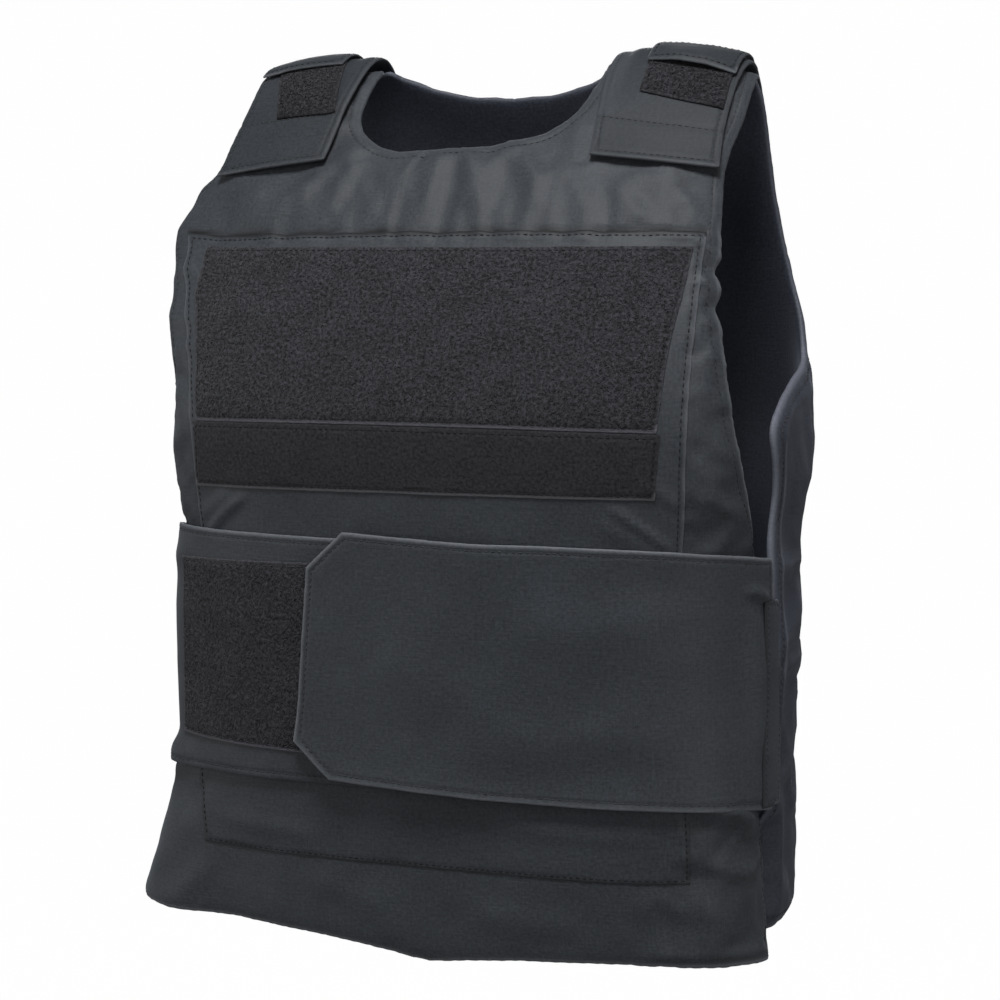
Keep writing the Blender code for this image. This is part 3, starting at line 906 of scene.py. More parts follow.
def growLoops(name, host, spacing, margin, seed, keep=None, curlName="loopCurl"):
    # small curled loops all over a patch of pile, or only where keep(s, q) is true
    net = host["net"]
    rng = np.random.default_rng(seed)
    lowS, highS, lowQ, highQ = net["s"].min(), net["s"].max(), net["q"].min(), net["q"].max()
    gridS, gridQ = np.meshgrid(np.arange(lowS, highS, spacing), np.arange(lowQ, highQ, spacing))
    s = gridS.ravel() + rng.uniform(-0.5, 0.5, gridS.size) * spacing
    q = gridQ.ravel() + rng.uniform(-0.5, 0.5, gridS.size) * spacing
    which, away = nearest(host["tree"], s, q)
    inside = (away < loops["onNet"]) & (net["dist"][which] > margin)
    if keep:
        inside &= keep(s, q)
    s, q = s[inside], q[inside]
    lift = liftOn(host, s, q)
    across, up, out = facing(s, q, lift, net["side"])
    base = place(s, q, lift, net["side"])
    count = len(s)
    turn = rng.uniform(0, 2 * math.pi, count)[:, None]
    lean = rng.uniform(-0.5, 0.5, count)[:, None]
    wide = rng.uniform(*loops["wide"], count)[:, None]
    tall = rng.uniform(*loops["tall"], count)[:, None]
    forward = np.cos(turn) * across + np.sin(turn) * up
    sideways = np.cross(out, forward)
    steps, corners = loops["segments"], loops["corners"]
    points = []
    for a in math.pi * np.arange(steps + 1) / steps:
        rise = math.sin(a)
        line = (base - loops["root"] * out + wide / 2 * math.cos(a) * forward * (1 + 0.25 * rise)
                + tall * rise * (out + lean * sideways))
        outwards = math.cos(a) * forward + rise * out
        for b in 2 * math.pi * np.arange(corners) / corners:
            points.append(line + loops["radius"] * (math.cos(b) * outwards + math.sin(b) * sideways))
    per = corners * (steps + 1)
    quads = [(corners * k + m, corners * k + n, corners * (k + 1) + n, corners * (k + 1) + m)
             for k in range(steps) for m, n in zip(range(corners), (1, 2, 0))]
    quads, tris = copies(quads, ((2, 1, 0), (per - 3, per - 2, per - 1)), count, per)
    obj = meshObject(name, np.stack(points, 1).reshape(-1, 3), quads, looks[curlName], tris,
                     np.repeat(np.stack((s, q), 1), per, axis=0))
    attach(obj, "root")
    print("grew", name, count, "loops")
    return obj


# Layers, outwards from the form
layer = {
    "panel": 0.0080,
    "cloth": 0.0015,
    "wrap": 0.0025,
    "strap": 0.0030,
    "gap": 0.0006,
    "strapGap": 0.0014,
}
onPanel = layer["panel"] + layer["gap"]
onPocket = onPanel + layer["cloth"] + layer["gap"]
onWrap = onPocket + layer["wrap"] + 1.5 * layer["gap"]
wrapHigh = onWrap + layer["cloth"] + layer["gap"]
underStrap = layer["panel"] + layer["strapGap"]


# Padded panels
panelEdge = {
    "thick": 0.0030,
    "middle": 0.0036,           # how far the middle of the edge stands off the form
    "puffWidth": 0.020,
    "least": 0.0016,            # the panel is nowhere thinner
    "calm": 0.012,              # how far in from the edge it is smoother
}


def padding(net):
    # face and inner side of a padded panel, thin at its edge
    puff = pillow(net["dist"], panelEdge["puffWidth"])
    thin = panelEdge["middle"] + panelEdge["thick"] / 2
    return (thin + (layer["panel"] - thin) * puff,
            (panelEdge["middle"] - panelEdge["thick"] / 2) * (1 - puff))


def coarseGrids(puff):
    grid = (puff["spacing"], puff["spacing"], panelEdge["puffWidth"] / 2)
    return grid + ((True, False),), grid


def closePanel(name, net, outer, inner, finishName, seam, edgeTone, tone, keep=None):
    inner = np.minimum(inner, outer - panelEdge["least"])
    piece = shell(name + "_cloth", net, outer, inner, finishName, seam, edgeTone, tone)
    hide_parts(name)
    sewPaths(name + "_stitching", piece, inset(net, seam[0], keep))
    return piece


# Front panel
frontPanel = {
    # each half from the hem to the shoulder: inner edge s, q, outer edge s, q, rise of the row's middle
    "leftRows": (
        (0, -540, 219.5, -540, 8), (0, -484, 217.2, -482, 2), (0, -422.5, 216.5, -422.5, 0),
        (0, -361, 215, -361, 0), (0, -299, 214.5, -297.5, 0), (0, -251, 197.5, -246.5, 0),
        (0, -211, 187, -207, 0), (0, -171.5, 178, -170, 0), (0, -127.5, 171, -134, 0),
        (0, -83.5, 169, -101, 0), (0, -35.5, 167.5, -75, 0), (16, -35.2, 166.5, -66, 0),
        (33, -32, 166, -58, 0), (49, -27.2, 166.5, -51, 0), (61.5, -19.5, 167.5, -42, 0),
        (70, -8, 170.5, -30, 0), (74.8, 4.5, 172.5, -15, 0), (77.5, 21.5, 173, 2.5, 0),
        (78, 39.5, 171.5, 23, 0),
    ),
    "rightRows": (
        (0, -540, 213, -530, 7.5), (0, -484, 213, -482, 2), (0, -422.5, 214, -422.5, 0),
        (0, -361, 215, -361, 0), (0, -299, 214.5, -297.5, 0), (0, -251, 198.5, -246.5, 0),
        (0, -211, 188, -207, 0), (0, -171.5, 181.5, -170, 0), (0, -127.5, 182, -134, 0),
        (0, -83.5, 190.5, -101, 0), (0, -35.5, 190, -75, 0), (19, -37.2, 187, -66, 0),
        (38.7, -38.2, 181, -58, 0), (52.4, -34.8, 175, -51, 0), (63.2, -28.3, 166.5, -42, 0),
        (73, -18, 164, -30, 0), (77.2, -5, 162.5, -15, 0), (78, 18, 161, 2.5, 0), (78, 39.5, 160, 23, 0),
    ),
    "up": (0.0012, 0.0028, 0.008, (True, False)),
    "across": (0.0012, 0.0028, 0.007),
    "seam": (0.0055, 0.0012, 0.0003),
    # the sunk line along the pocket's top, which also carries painted shade: s, q there; and its distance
    # above, half width and depth
    "pocketTop": ((-0.1750, -0.0900, 0.0, 0.0800, 0.1613), (-0.1008, -0.0983, -0.0977, -0.0980, -0.0998)),
    "pocketShade": (0.0009, 0.0011, 0.0015),
    "pocketFrom": (-0.177, 0.003),
    "pocketTo": (0.1635, 0.003),
    "hemBand": 0.016,           # the seam line stops at this height above the hem
    "gathers": ((0.011, 0.010, 0.0006, 3), (0.027, 0.012, 0.0006, 4)),
    "waves": ((0.034, 0.0008, 5), (0.013, 0.00035, 7)),
    # folds: from s, q, to s, q, bend, half width, height
    "folds": (
        (-11, -34, -15, -90, 3, 6.5, 2), (-26, -36, -33, -60, 1, 2.2, 1.3),
        (-20, -36, -27, -56, 1, 2, -1.2), (8, -34, 28, -90, -2, 7, 1.7), (2, -38, 4, -90, 2, 4.5, -0.9),
        (40, -42, 66, -94, 4, 8.5, 1.7), (27, -42, 48, -93, 3, 6, -1), (-42, -42, -47, -94, 2, 8.5, 1.7),
        (-60, -48, -76, -94, -2, 7.5, 1.3), (64, -40, 90, -92, 4, 8, 1.5), (-93, -56, -90, -96, -3, 9, 1.4),
        (-130, -62, -120, -96, -3, 9, 1.2), (104, -60, 128, -96, 2, 9, 1.4), (142, -72, 156, -98, 2, 6, 1),
        (152, -103, 176, -120, 1, 3, 2.3), (157, -118, 176, -127, -1, 3, -1.6),
        (156, -127, 180, -141, 1, 3.5, 2.5), (162, -144, 182, -150, 1, 3, -1.6),
        (160, -152, 185, -168, 2, 3.6, 2.4), (164, -172, 187, -184, 1, 3.6, 1.8),
        (164, -192, 188, -208, 1, 4, 1.5), (160, -215, 193, -240, 3, 6, 1.9),
        (164, -250, 196, -266, -2, 6, 1.6), (-162, -118, -190, -136, 2, 6, 1.4),
        (-164, -190, -188, -220, 2, 6, 1.6), (156, -435, 206, -456, 3, 7, 4.5),
        (164, -470, 208, -479, -4, 6, 1.7), (120, -495, 190, -510, 4, 8, 1.4),
        (20, -500, 100, -512, -4, 9, 1.1), (-90, -498, -10, -512, 4, 9, 1.1),
        (-162, -456, -200, -520, 4, 8, 1.9), (-150, -490, -185, -530, 4, 7, 1.3),
    ),
    # where the left armhole edge is crumpled: highest and lowest q, cell, how far it goes in and out
    "crumple": (-0.092, -0.185, 0.0085, 0.0016),
    "puff": {"spacing": 0.0065, "pressure": 4.0, "swell": 0.035, "most": 0.0030, "least": -0.0012},
}


def middleUp(s, q, f, lines):
    # the fifth column of a row says how far its middle rises
    return s, q + 4 * f * (1 - f) * lines[:, 4]


flatUnder = (
    # areas of the front panel that lie flat under the pocket, the wraps, the band and the straps: from and
    # to, away from the centre line, and from and to, upwards; each with the distance that it fades over
    (None, (0.158, 0.006), (-0.300, 0.004), (-0.104, 0.005)),
    (None, None, (-0.440, 0.010), (-0.286, 0.006)),
    (None, (0.152, 0.006), (-0.482, 0.004), (-0.42, 0.005)),
    ((0.088, 0.006), (0.160, 0.006), (-0.050, 0.006), None),
)


def underSewn(s, q):
    # 1 where the front panel lies flat
    total = 0
    for near, far, low, high in flatUnder:
        area = np.ones(len(s))
        for x, start, end in ((abs(s), near, far), (q, low, high)):
            if start:
                area *= after(x, *start)
            if end:
                area *= before(x, *end)
        total += area
    return np.clip(total, 0, 1)


def hemLine(s):
    # how high the front panel's lower edge lies
    left, right = metres([frontPanel[half][0] for half in ("leftRows", "rightRows")])
    low, wide, end, rise = (np.where(s < 0, right[k], left[k]) for k in (1, 2, 3, 4))
    f = abs(s) / wide
    return low + f * (end - low) + 4 * f * (1 - f) * rise


def makeFrontPanel():
    spec = frontPanel
    high, low, cell, reach = spec["crumple"]

    def crumpled(s, q, f, lines):
        s, q = middleUp(s, q, f, lines)
        part = before(q, high, 0.015) * after(q, low, 0.02)
        return s + reach * part * f ** 8 * noise(0 * q, q, cell, 11), q

    def halves(up, across):
        left = patch(spec["leftRows"], up, across, False, crumpled, spec["leftRows"])
        right = patch(spec["rightRows"], up, across, True, middleUp, spec["leftRows"])
        shared = abs(left[0][:, 0]) < 1e-9               # rows below the neckline meet at the centre line
        right[1][shared, 0] = left[1][shared, 0]
        return left, right

    net = sew(halves(spec["up"], spec["across"]))
    s, q, dist = net["s"], net["q"], net["dist"]
    seam = spec["seam"]
    free = 1 - underSewn(s, q)
    outer, inner = padding(net)
    bottom = before(q, hemLine(s) + spec["hemBand"], 0.008)
    outer += groove(dist, *seam) * (1 - bottom) + free * gathers(net, *spec["gathers"])
    wavy = waves(s, q, *spec["waves"]) * after(dist, 0, panelEdge["calm"])
    outer += free * (folds(s, q, spec["folds"]) + wavy)
    away, wide, deep = spec["pocketShade"]
    overPocket = q - np.interp(s, *spec["pocketTop"]) - away
    along = after(s, *spec["pocketFrom"]) * before(s, *spec["pocketTo"])
    slot = along * bell(overPocket, 0, wide)
    outer -= slot * deep
    # flatter along the hem, apart from the left corner
    calm = free * (1 - 0.65 * before(q, -0.44, 0.02) * before(s, 0.150, 0.03))
    outer += swelling(halves(*coarseGrids(spec["puff"])), net, calm, spec["puff"])
    # painted highlight along the panel's edge, strongest along the hem and the left armhole
    edge = 0.15 + 0.9 * bottom + 0.5 * after(s, 0.15, 0.01) * before(q, -0.09, 0.01)
    # painted shade along the pocket's top sunk line; the seam's painted shade is taken off again along the
    # hem
    shade = paintedEdgeShading["seamShade"] * bottom * bell(dist, *seam[:2]) - 1.5 * slot

    def shown(x, y):
        # clear of the straps and of the hem
        return ~((abs(x) > 0.088) & (abs(x) < 0.160) & (y > -0.05)) & (y > hemLine(x) + 0.010)

    return closePanel("front_panel", net, outer, inner, "nylonCloth", seam, edge, shade, shown)


# Back panel
backPanel = {
    "rows": (
        (0, -528, 274.5, -522), (0, -484, 276, -484), (0, -422.5, 274.5, -422.5), (0, -361, 274, -361),
        (0, -299, 279, -295), (0, -264, 284, -259.5), (0, -230.5, 300, -222), (0, -207, 286, -205),
        (0, -180.5, 260, -192.5), (0, -149.5, 218, -178), (0, -119, 199, -153), (0, -83.5, 183, -123),
        (0, -48.5, 174, -90), (0, -17.5, 170.5, -61.5), (0, -5.5, 170, -46), (26.5, -3.5, 170, -33.5),
        (48.5, 2, 170, -22), (64, 8, 169.5, -13), (74, 13, 168, -7), (79, 17.5, 167, -2),
    ),
    "up": (0.0013, 0.0038, 0.007, (True, False)),
    "across": (0.0013, 0.0038, 0.007),
    "seam": (0.0055, 0.0012, 0.0006),
    "gathers": ((0.012, 0.010, 0.0004, 13), (0.031, 0.012, 0.0005, 14)),
    "waves": ((0.045, 0.0011, 15), (0.015, 0.0004, 17)),
    "frontLine": (0.0085, 0.0008, 0.7),          # pale line along the front edge: inset, half width, tone
    "puff": {"spacing": 0.0075, "pressure": 4.0, "swell": 0.035, "most": 0.0028, "least": -0.0012},
    "folds": (
        (-60, -180, -110, -100, 8, 12, 2.2), (50, -200, 110, -110, -8, 13, 2),
        (-150, -330, -40, -350, 10, 14, 2.2), (20, -370, 150, -340, -10, 14, 2.2),
        (-120, -420, 10, -440, 8, 12, 1.8), (60, -480, 190, -440, 10, 13, 2),
    ),
}


def makeBackPanel():
    spec = backPanel

    def halves(up, across):
        return [patch(spec["rows"], up, across, mirrored) for mirrored in (False, True)]

    net = sew(halves(spec["up"], spec["across"]), "back")
    s, q, dist = net["s"], net["q"], net["dist"]
    outer, inner = padding(net)
    outer += groove(dist, *spec["seam"])
    outer += gathers(net, *spec["gathers"])
    free = 1 - after(abs(s), 0.075, 0.006) * after(q, -0.135, 0.01)    # not under the straps
    wavy = waves(s, q, *spec["waves"]) * after(dist, 0, panelEdge["calm"])
    outer += free * (folds(s, q, spec["folds"]) + wavy)
    outer += swelling(halves(*coarseGrids(spec["puff"])), net, free, spec["puff"])
    aside = after(abs(s), 0.20, 0.02) * after(q, -0.385, 0.02)
    inward, half, tone = spec["frontLine"]
    line = tone * bell(dist, inward, half) * aside * before(q, -0.22, 0.01)
    # painted highlight along the panel's edges, stronger at the sides
    return closePanel("back_panel", net, outer, inner, "backCloth", spec["seam"],
                      0.35 + 0.6 * aside, line)


# Thin pieces that are sewn on others
thinPiece = {
    "gap": 0.0002,              # how far it lies off the piece below it
    "edge": 0.0006,             # its thickness at the edge, and farther in
    "thick": 0.0013,
    "round": 0.004,             # how far in that is
    "least": 0.0005,            # it is nowhere thinner
    "finish": "nylonCloth",
    "slot": "nylon_cloth",
    "thread": "darkThread",
    "curl": "loopCurl",
}


def cutSize(piece):
    # width, length and area of the flat cut, measured half way through the cloth
    net, middle = piece["net"], (piece["outer"] + piece["inner"]) / 2
    s, q, side = net["s"], net["q"], net["side"]
    e = 0.001
    across = np.linalg.norm(place(s + e, q, middle, side) - place(s - e, q, middle, side), axis=1) / (2 * e)
    up = np.linalg.norm(place(s, q + e, middle, side) - place(s, q - e, middle, side), axis=1) / (2 * e)
    area = net["area"] * float((across * up).mean())
    return float(np.ptp(s) * across.mean()), float(np.ptp(q) * up.mean()), area


def declareSheet(piece):
    width, length, area = cutSize(piece)
    width, length = round(width, 3), round(length, 3)                  # the cut fits inside this rectangle
    min(area, 0.999 * width * length)


def edgeTones(net, tones):
    # one tone of painted light at the top edge, one at the sides and one at the bottom
    top, sides, bottom = tones
    q = net["q"]
    high, fade = paintedEdgeShading["endTones"]
    up = after(q, q.max() - high, fade)
    down = before(q, q.min() + high, fade)
    return sides + (top - sides) * up + (bottom - sides) * down


def sewOn(name, net, under, spec, edgeTone, rises=(0.0, 0.0), piles=()):
    # a thin piece over that height, with its stitches and loops; rises of its face and of its inner side
    dist, seam = net["dist"], spec["seam"]
    base = under + spec["gap"]
    thick = spec["edge"] + (spec["thick"] - spec["edge"]) * pillow(dist, spec["round"])
    inner = base + rises[1]
    outer = np.maximum(base + thick + groove(dist, *seam) + rises[0], inner + spec["least"])
    # edgeTone is painted light along the piece's edge: a highlight above 0, shade below 0
    piece = shell(name + "_cloth", net, outer, inner, spec["finish"],
                  seam if spec.get("shaded", True) else None, edgeTone, rimRows=2)
    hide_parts(name)
    extras = [sewPaths(name + "_stitching", piece, inset(net, seam[0]), spec["thread"])]
    for part, keep in piles:
        extras.append(growLoops(name + "_loops" + part, piece, *spec["pile"], keep, spec["curl"]))
    declareSheet(piece)
    return piece


sewn = {
    # rows bottom to top: right edge s, q, left edge s, q, rise of the middle
    # tones of painted light at the top edge, the sides and the bottom edge, a highlight above 0 and shade
    # below 0; spacing, margin and seed of the pile's loops
    "chest_pocket": {
        "rows": (
            (-152, -297.5, 155, -297.5, 0), (-153, -237.5, 159, -237.5, 0), (-162.5, -167, 160.8, -167, 0),
            (-175, -100.8, 161.3, -99.8, 2.4),
        ),
        "seam": (0.0030, 0.0009, 0.00040),
        "seed": 21, "grid": (0.0011, 0.0026, 0.006), "tones": (-1.6, 0.8, 0.3),
        "folds": (
            (113, -256, 153, -288, 1, 2.6, 2.2), (108, -266, 148, -294, 1, 6, 1.3),
            (134, -244, 158, -262, 1, 4, 1.2), (-106, -256, -150, -290, -2, 3, 2),
            (-118, -254, -154, -276, 1, 5, 1.3),
        ),
    },
    "chest_loop_field": {
        "rows": (
            (-147.5, -216, 144, -217.8, 1.2), (-153.5, -167, 148.2, -167, 0),
            (-158.5, -136.5, 152.2, -138.5, 0), (-157.5, -108.5, 154.8, -110, 0),
        ),
        "finish": "loopPile", "slot": "loop_pile", "thick": 0.0014, "seam": (0.0022, 0.0010, 0.00045),
        "seed": 31, "grid": (0.0012, 0.0032, 0.005), "folds": (), "tones": (0.0, 0.2, 1.3),
        "pile": (0.00178, 0.0030, 33),
    },
    "chest_loop_strip": {
        "rows": (
            (-150.5, -254, 142, -254.5, 0), (-149, -217.2, 145.8, -219, 1.2),
        ),
        "finish": "loopTape", "slot": "loop_webbing", "seam": (0.0020, 0.0008, 0.00035),
        "seed": 41, "grid": (0.0010, 0.0030, 0.004), "folds": (), "tones": (0.0, 0.1, 1.3),
    },
    "lower_band": {
        "rows": (
            (-153, -481.5, 158.5, -483.2, 1), (-160, -420, 157, -420, 0),
        ),
        "thick": 0.0008, "seam": (0.0016, 0.0009, 0.00035),
        "seed": 51, "grid": (0.0011, 0.0028, 0.006), "tones": (-0.3, -0.5, -0.6),
        "folds": (
            (-150, -465, -60, -470, 2, 6, 1), (40, -450, 145, -456, -2, 6, 1.2),
            (-50, -448, 30, -456, 2, 8, 0.8),
        ),
    },
}


def makeSewn(name, base, piles=()):
    spec = {**thinPiece, **sewn[name]}
    net = sew([patch(spec["rows"], spec["grid"], spec["grid"], False, middleUp)])
    s, q, seed = net["s"], net["q"], spec["seed"]
    billow = waves(s, q, (0.030, 0.00035, seed + 1), (0.012, 0.00018, seed + 2))
    rise = folds(s, q, spec["folds"]) + billow * after(net["dist"], 0, 0.008)
    face = gathers(net, (0.006, 0.004, 0.00022, seed)) + np.maximum(rise, -0.0002)
    return sewOn(name, net, liftOn(base, s, q), spec, edgeTones(net, spec["tones"]),
                 (face, np.clip(rise, 0, None) * 0.9), piles)


# Waist wraps
wraps = {
    # chamfered end first, then along the wrap: lower edge s, q, upper edge s, q
    "leftEnd": ((-77.3, -407, -66.6, -301), (-54.9, -428.6, -42.9, -278.3)),
    "leftRows": (
        (-54.9, -428.6, -42.9, -278.3), (-11.9, -431.2, -5, -280.5), (39.3, -433.5, 35, -282.4),
        (87.5, -435.8, 89.8, -283.8), (131.7, -437, 140, -285.5), (176, -440.5, 176, -289),
        (212.5, -445.5, 212.5, -293.7),
    ),
    "rightRows": (
        (26.5, -434, 26.5, -285), (-47.5, -433.2, -47.5, -283.6), (-132, -433.8, -132, -282),
        (-176, -435, -176, -281), (-212.5, -440, -212.5, -288),
    ),
    "sag": (0.0030, 0.0100),    # how far the left wrap's lower edge stands off, and over what height
    "grid": (0.0011, 0.0027, 0.006),
    "seam": (0.0032, 0.0010, 0.00045),
    "edge": 0.0016,
    "round": 0.005,
    "edgeHigh": 0.4,            # where the thin edge lies in the thickness, 0 at the inner side
    "least": 0.0009,
    "leftFolds": (
        (50, -330, 170, -320, -4, 15, 1.4), (30, -405, 160, -398, 4, 15, 1.6),
        (-30, -350, 30, -390, 4, 16, 1.2), (190, -310, 208, -319, 1, 2.8, 2.6),
        (188, -318, 206, -327, 1, 4, -1.4), (196, -320, 198.5, -420, 2, 5, 1.8),
    ),
    "rightFolds": (
        (-150, -290, -195, -305, 2, 8, 1.2), (-156, -423, -200, -430, 2, 8, 1.6),
    ),
}
wrapPatch = {
    **thinPiece,
    "rows": ((-26.5, -416, -26.5, -298), (-168, -413.5, -165.5, -300.8)),
    "grid": (0.0010, 0.0028, 0.005),
    "seam": (0.0022, 0.0010, 0.00045),
    "gap": 0.0003,
    "edge": 0.0008,
    "thick": 0.0014,
    "least": 0.0004,
    "finish": "loopPile",
    "slot": "loop_pile",
    "thread": "thread",
    "pile": (0.0018, 0.0028, 71),
    "pileTo": -0.062,           # no loops under the left wrap
    "tones": (0.2, 0.4, 1.2),
}


def wrapUnder(s, q):
    # a wrap lies on the front panel, and its end rises to be flush with the back panel's edge
    heights, distances = zip(*torso["sideOff"])
    aside = np.interp(q, heights, distances) * (s > 0)
    return onPocket + after(abs(s), 0.180, 0.0325) * (aside + layer["panel"] - layer["wrap"] - onPocket)


def makeWrap(name, net, raised, foldRows, seed, tones):
    spec = wraps
    s, q, dist = net["s"], net["q"], net["dist"]
    thick = spec["edge"] + (layer["wrap"] - spec["edge"]) * pillow(dist, spec["round"])
    wavy = waves(s, q, (0.040, 0.0005, seed), (0.015, 0.00022, seed + 1))
    rise = np.clip(folds(s, q, foldRows) + wavy, -0.0004, None)
    inner = wrapUnder(s, q) + raised + rise + (layer["wrap"] - thick) * spec["edgeHigh"]
    outer = inner + thick + groove(dist, *spec["seam"]) + gathers(net, (0.009, 0.005, 0.00028, seed + 2))
    # the wrap's edges carry a painted highlight, as strong as its tones
    piece = shell(name + "_cloth", net, np.maximum(outer, inner + spec["least"]), inner, "nylonCloth",
                  spec["seam"], edgeTones(net, tones))
    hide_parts(name)
    lines = sewPaths(name + "_stitching", piece, inset(net, spec["seam"][0]))
    declareSheet(piece)
    return piece


def makeRightWrap():
    net = sew([patch(wraps["rightRows"], wraps["grid"], wraps["grid"])])
    return makeWrap("right_wrap", net, 0.0, wraps["rightFolds"], 61, (0.9, 0.1, 0.9))


def makeWrapPatch(base):
    spec = wrapPatch
    net = sew([patch(spec["rows"], spec["grid"], spec["grid"])])
    sewOn("wrap_loop_patch", net, liftOn(base, net["s"], net["q"]), spec,
          edgeTones(net, spec["tones"]), piles=(("", lambda s, q: s < spec["pileTo"]),))


def makeLeftWrap():
    spec = wraps
    end = patch(spec["leftEnd"], spec["grid"] + ((True, False),), spec["grid"], wideRows=spec["leftRows"])
    rest = patch(spec["leftRows"], spec["grid"] + ((False, True),), spec["grid"])
    net = sew([end, rest])
    s, q = net["s"], net["q"]
    raised = before(s, 0.085, 0.052) * (wrapHigh - onPocket)           # its end lies on the right wrap
    lows = metres(spec["leftEnd"][:1] + spec["leftRows"])
    sag = spec["sag"][0] * np.exp(-np.abs(q - np.interp(s, lows[:, 0], lows[:, 1])) / spec["sag"][1])
    sag *= before(s, 0.195, 0.03)
    makeWrap("left_wrap", net, raised + sag, spec["leftFolds"], 81, (0.9, 0.9, 0.8))


# Side strips, which join the wraps to the back panel
sideStrip = {
    **thinPiece,
    "rows": ((201, -443.5, 221, -443.5), (202.8, -333, 222.8, -334), (202.9, -325, 221.5, -326),
             (203, -319, 216.5, -319)),
    "low": {"left": -443.5, "right": -437},
    "grid": (0.0008, 0.0020, 0.003),
    "seam": (0.0025, 0.0008, 0.0003),
    "gap": 0.0003,
    "thick": 0.0010,
    "round": 0.003,
    "least": 0.0003,
    "thread": "thread",
    "shaded": False,
    "darkTo": 0.212,            # its front half has painted shade along its edge, the rest a painted highlight
    "darkPale": (-0.9, 0.7),
}


def makeSideStrip(word, mirrored):
    spec = sideStrip
    first, *others = spec["rows"]
    low = spec["low"][word]
    net = sew([patch(((first[0], low, first[2], low), *others), spec["grid"], spec["grid"], mirrored)])
    s, q = net["s"], net["q"]
    sewOn(word + "_side_strip", net, wrapUnder(s, q) + layer["wrap"], spec,
          np.where(abs(s) < spec["darkTo"], *spec["darkPale"]),
          (waves(s, q, (0.012, 0.0002, 91)), 0.0))


# Shoulder straps with their loop patches and keeper tabs
strap = {
    # from the front end over the shoulder to the back end: inner edge s, q, outer edge s, q
    "rows": {
        "left": ((87, -47.5, 162.2, -59), (85, -16, 161.5, -31), (82.5, 16, 162.5, 0), (81.5, 51, 165, 33.5),
                 (82, 83.5, 165.5, 66), (84, 119, 165, 104)),
        "right": ((87, -47.5, 164, -59), (85, -16, 160.2, -31), (82.5, 16, 157.2, 0), (81.5, 51, 161, 33.5),
                  (82, 83.5, 163.5, 66), (84, 119, 165, 104)),
    },
    # the seam across the front end: from s, to s; and q at both
    "crossSpan": (0.0885, 0.160),
    "cross": {"left": (-0.0195, -0.0335), "right": (-0.0110, -0.0215)},
    "grid": (0.0011, 0.0023, 0.006),
    "seam": (0.0034, 0.0010, 0.00045),
    "edge": 0.0018,
    "round": 0.006,
    "edgeHigh": 0.4,
    "end": (0.087, -0.0475, 0.15),               # s, q of the front end's inner corner, and its slant
    "endLift": (0.0018, 0.006),                  # how far the front end stands off, and over what length
    "sink": {"left": 0.0018, "right": -0.0010},  # how far the inner edge lies in, above the cross seam
}
strapPatch = {
    **thinPiece,
    "rows": {
        "left": ((108, -1.5, 159, -18), (108, 20, 159, 6), (108, 41, 159, 29)),
        "right": ((89.5, -11, 129, -16), (95, 14.5, 137, 8.5), (101, 40.5, 145, 29)),
    },
    "grid": (0.0008, 0.0018, 0.004),
    "seam": (0.0020, 0.0008, 0.0003),
    "gap": 0.0004,
    "edge": 0.0007,
    "thick": 0.0014,
    "round": 0.003,
    "least": 0.0004,
    "finish": "strapPile",
    "slot": "loop_pile",
    "curl": "strapCurl",
    "spacing": 0.0018,
    "margin": 0.0024,
    "seed": {"left": 112, "right": 110},
    "tones": (0.0, 0.1, -0.6),
}
keeperTab = {
    **thinPiece,
    "rows": {
        "left": ((107, 24, 161, 8), (106, 49, 161, 34)),
        "right": ((100, 31, 156, 19), (100, 55, 157, 43)),
    },
    "grid": (0.0008, 0.0018, 0.004),
    "seam": (0.0024, 0.0008, 0.0003),
    "gap": 0.0004,
    "edge": 0.0012,
    "thick": 0.0018,
    "round": 0.003,
    "least": 0.0004,
    "finish": "strapClothShaded",
    "bulge": {"left": 0.0034, "right": 0.0006},
    "tones": (0.0, 0.3, 0.9),
}


def makeStrap(word, mirrored):
    spec = strap
    sign = -1 if mirrored else 1
    net = sew([patch(spec["rows"][word], spec["grid"], spec["grid"], mirrored)])
    s, q, dist = net["s"], net["q"], net["dist"]
    endS, endQ, slant = spec["end"]
    fromEnd = q - endQ + slant * (abs(s) - endS)
    hiding = before(abs(s), 0.098, 0.006) * after(q, -0.022, 0.008) * (not mirrored)
    thick = spec["edge"] + (layer["strap"] - spec["edge"]) * pillow(dist, spec["round"])
    lifted = spec["endLift"][0] * np.exp(-fromEnd / spec["endLift"][1])
    inner = underStrap + lifted + (layer["strap"] - thick) * spec["edgeHigh"]
    inner -= spec["sink"][word] * before(abs(s), 0.096, 0.008) * after(q, -0.020, 0.012)
    outer = inner + thick + groove(dist, *spec["seam"]) * (1 - hiding)
    outer += waves(s, q, (0.030, 0.00042, 101 + sign), (0.012, 0.00015, 105 + sign))
    outer += gathers(net, (0.008, 0.004, 0.00022, 103))
    crease = bell(q, np.interp(abs(s), spec["crossSpan"], spec["cross"][word]), 0.0011)
    outer -= 0.0005 * crease
    # painted highlight along the strap's edges, and over its face where it lies against the neck edge;
    # painted shade along the cross seam's crease
    piece = shell(word + "_shoulder_strap_cloth", net, outer, inner, "strapClothShaded",
                  spec["seam"], edgeTones(net, (0.1, 0.3, 0.6)) * (1 - hiding), 0.25 * hiding - 0.3 * crease)
    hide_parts(word + "_shoulder_strap")

    def shown(x, y):
        # no stitches where the left strap lies against the neck edge
        return mirrored | (abs(x) > 0.1) | (y < -0.018)

    across = [(sign * x, y) for x, y in zip(spec["crossSpan"], spec["cross"][word])]
    lines = sewPaths(word + "_shoulder_strap_stitching", piece, inset(net, spec["seam"][0], shown) + [across])
    declareSheet(piece)
    return piece


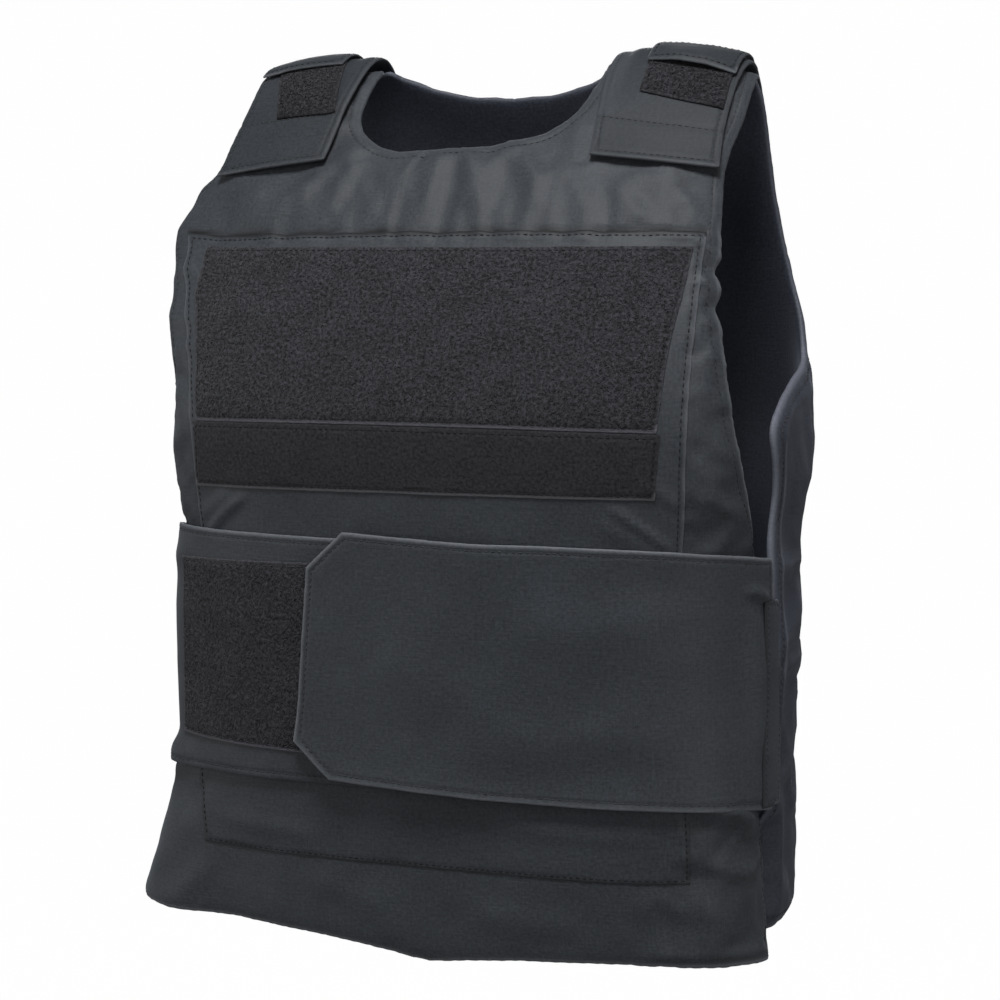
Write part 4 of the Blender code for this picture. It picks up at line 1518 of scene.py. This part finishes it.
def makeStrapPatch(word, mirrored, base):
    spec = {**strapPatch, "pile": (strapPatch["spacing"], strapPatch["margin"], strapPatch["seed"][word])}
    net = sew([patch(spec["rows"][word], spec["grid"], spec["grid"], mirrored)])
    return sewOn(word + "_strap_loop_patch", net, liftOn(base, net["s"], net["q"]), spec,
                 edgeTones(net, spec["tones"]), piles=(("", None),))


def makeKeeper(word, mirrored, base):
    spec = keeperTab
    rows = spec["rows"][word]
    net = sew([patch(rows, spec["grid"], spec["grid"], mirrored)])
    s, q = net["s"], net["q"]
    s0, q0, s1, q1 = metres(rows[0])
    across = (abs(s) - s0) / (s1 - s0)
    bulge = spec["bulge"][word] * bell(q - (q0 + across * (q1 - q0)), 0.004, 0.008)
    bulge *= after(across, 0, 0.4) * before(across, 1, 0.4)
    sewOn(word + "_keeper_tab", net, liftOn(base, s, q), spec,
          edgeTones(net, spec["tones"]), (bulge, bulge))


# Floor
def makeFloor():
    # floor and round wall in one sweep
    steps, radius = stage["domeSteps"], stage["domeRadius"]
    angle = np.arange(steps) * 2 * math.pi / steps
    ring = np.stack((np.cos(angle), np.sin(angle), np.zeros(steps)), 1)
    profile = stage["domeProfile"]
    points = np.concatenate([ring * (radius * out) + (0, 0, stage["floorZ"] + radius * up)
                             for out, up in profile])
    quads = []
    for k in range(len(profile) - 1):
        low, high = k * steps + np.arange(steps), (k + 1) * steps + np.arange(steps)
        quads.append(np.stack((low, np.roll(low, -1), np.roll(high, -1), high), 1))
    caps = np.array([(k * steps, k * steps + i, k * steps + i + 1) for k in (0, len(profile) - 1)
                     for i in range(1, steps - 1)])
    floor = meshObject("floor", points, np.concatenate(quads), looks["paper"], caps)
    floor.visible_diffuse = floor.visible_glossy = floor.visible_transmission = floor.visible_shadow = False


setCamera()
setLights()
looks = makeFinishes()
makeFloor()
forms = {side: makeForm(side) for side in sides}
print("form ready")
front = makeFrontPanel()
back = makeBackPanel()
pocket = makeSewn("chest_pocket", front)
makeSewn("chest_loop_field", pocket,
         (("_right", lambda s, q: s < 0), ("_left", lambda s, q: s >= 0)))
makeSewn("chest_loop_strip", pocket)
makeSewn("lower_band", front)
makeWrapPatch(makeRightWrap())
makeLeftWrap()
for word, mirrored in (("right", True), ("left", False)):
    makeSideStrip(word, mirrored)
    strapPiece = makeStrap(word, mirrored)
    makeKeeper(word, mirrored, makeStrapPatch(word, mirrored, strapPiece))
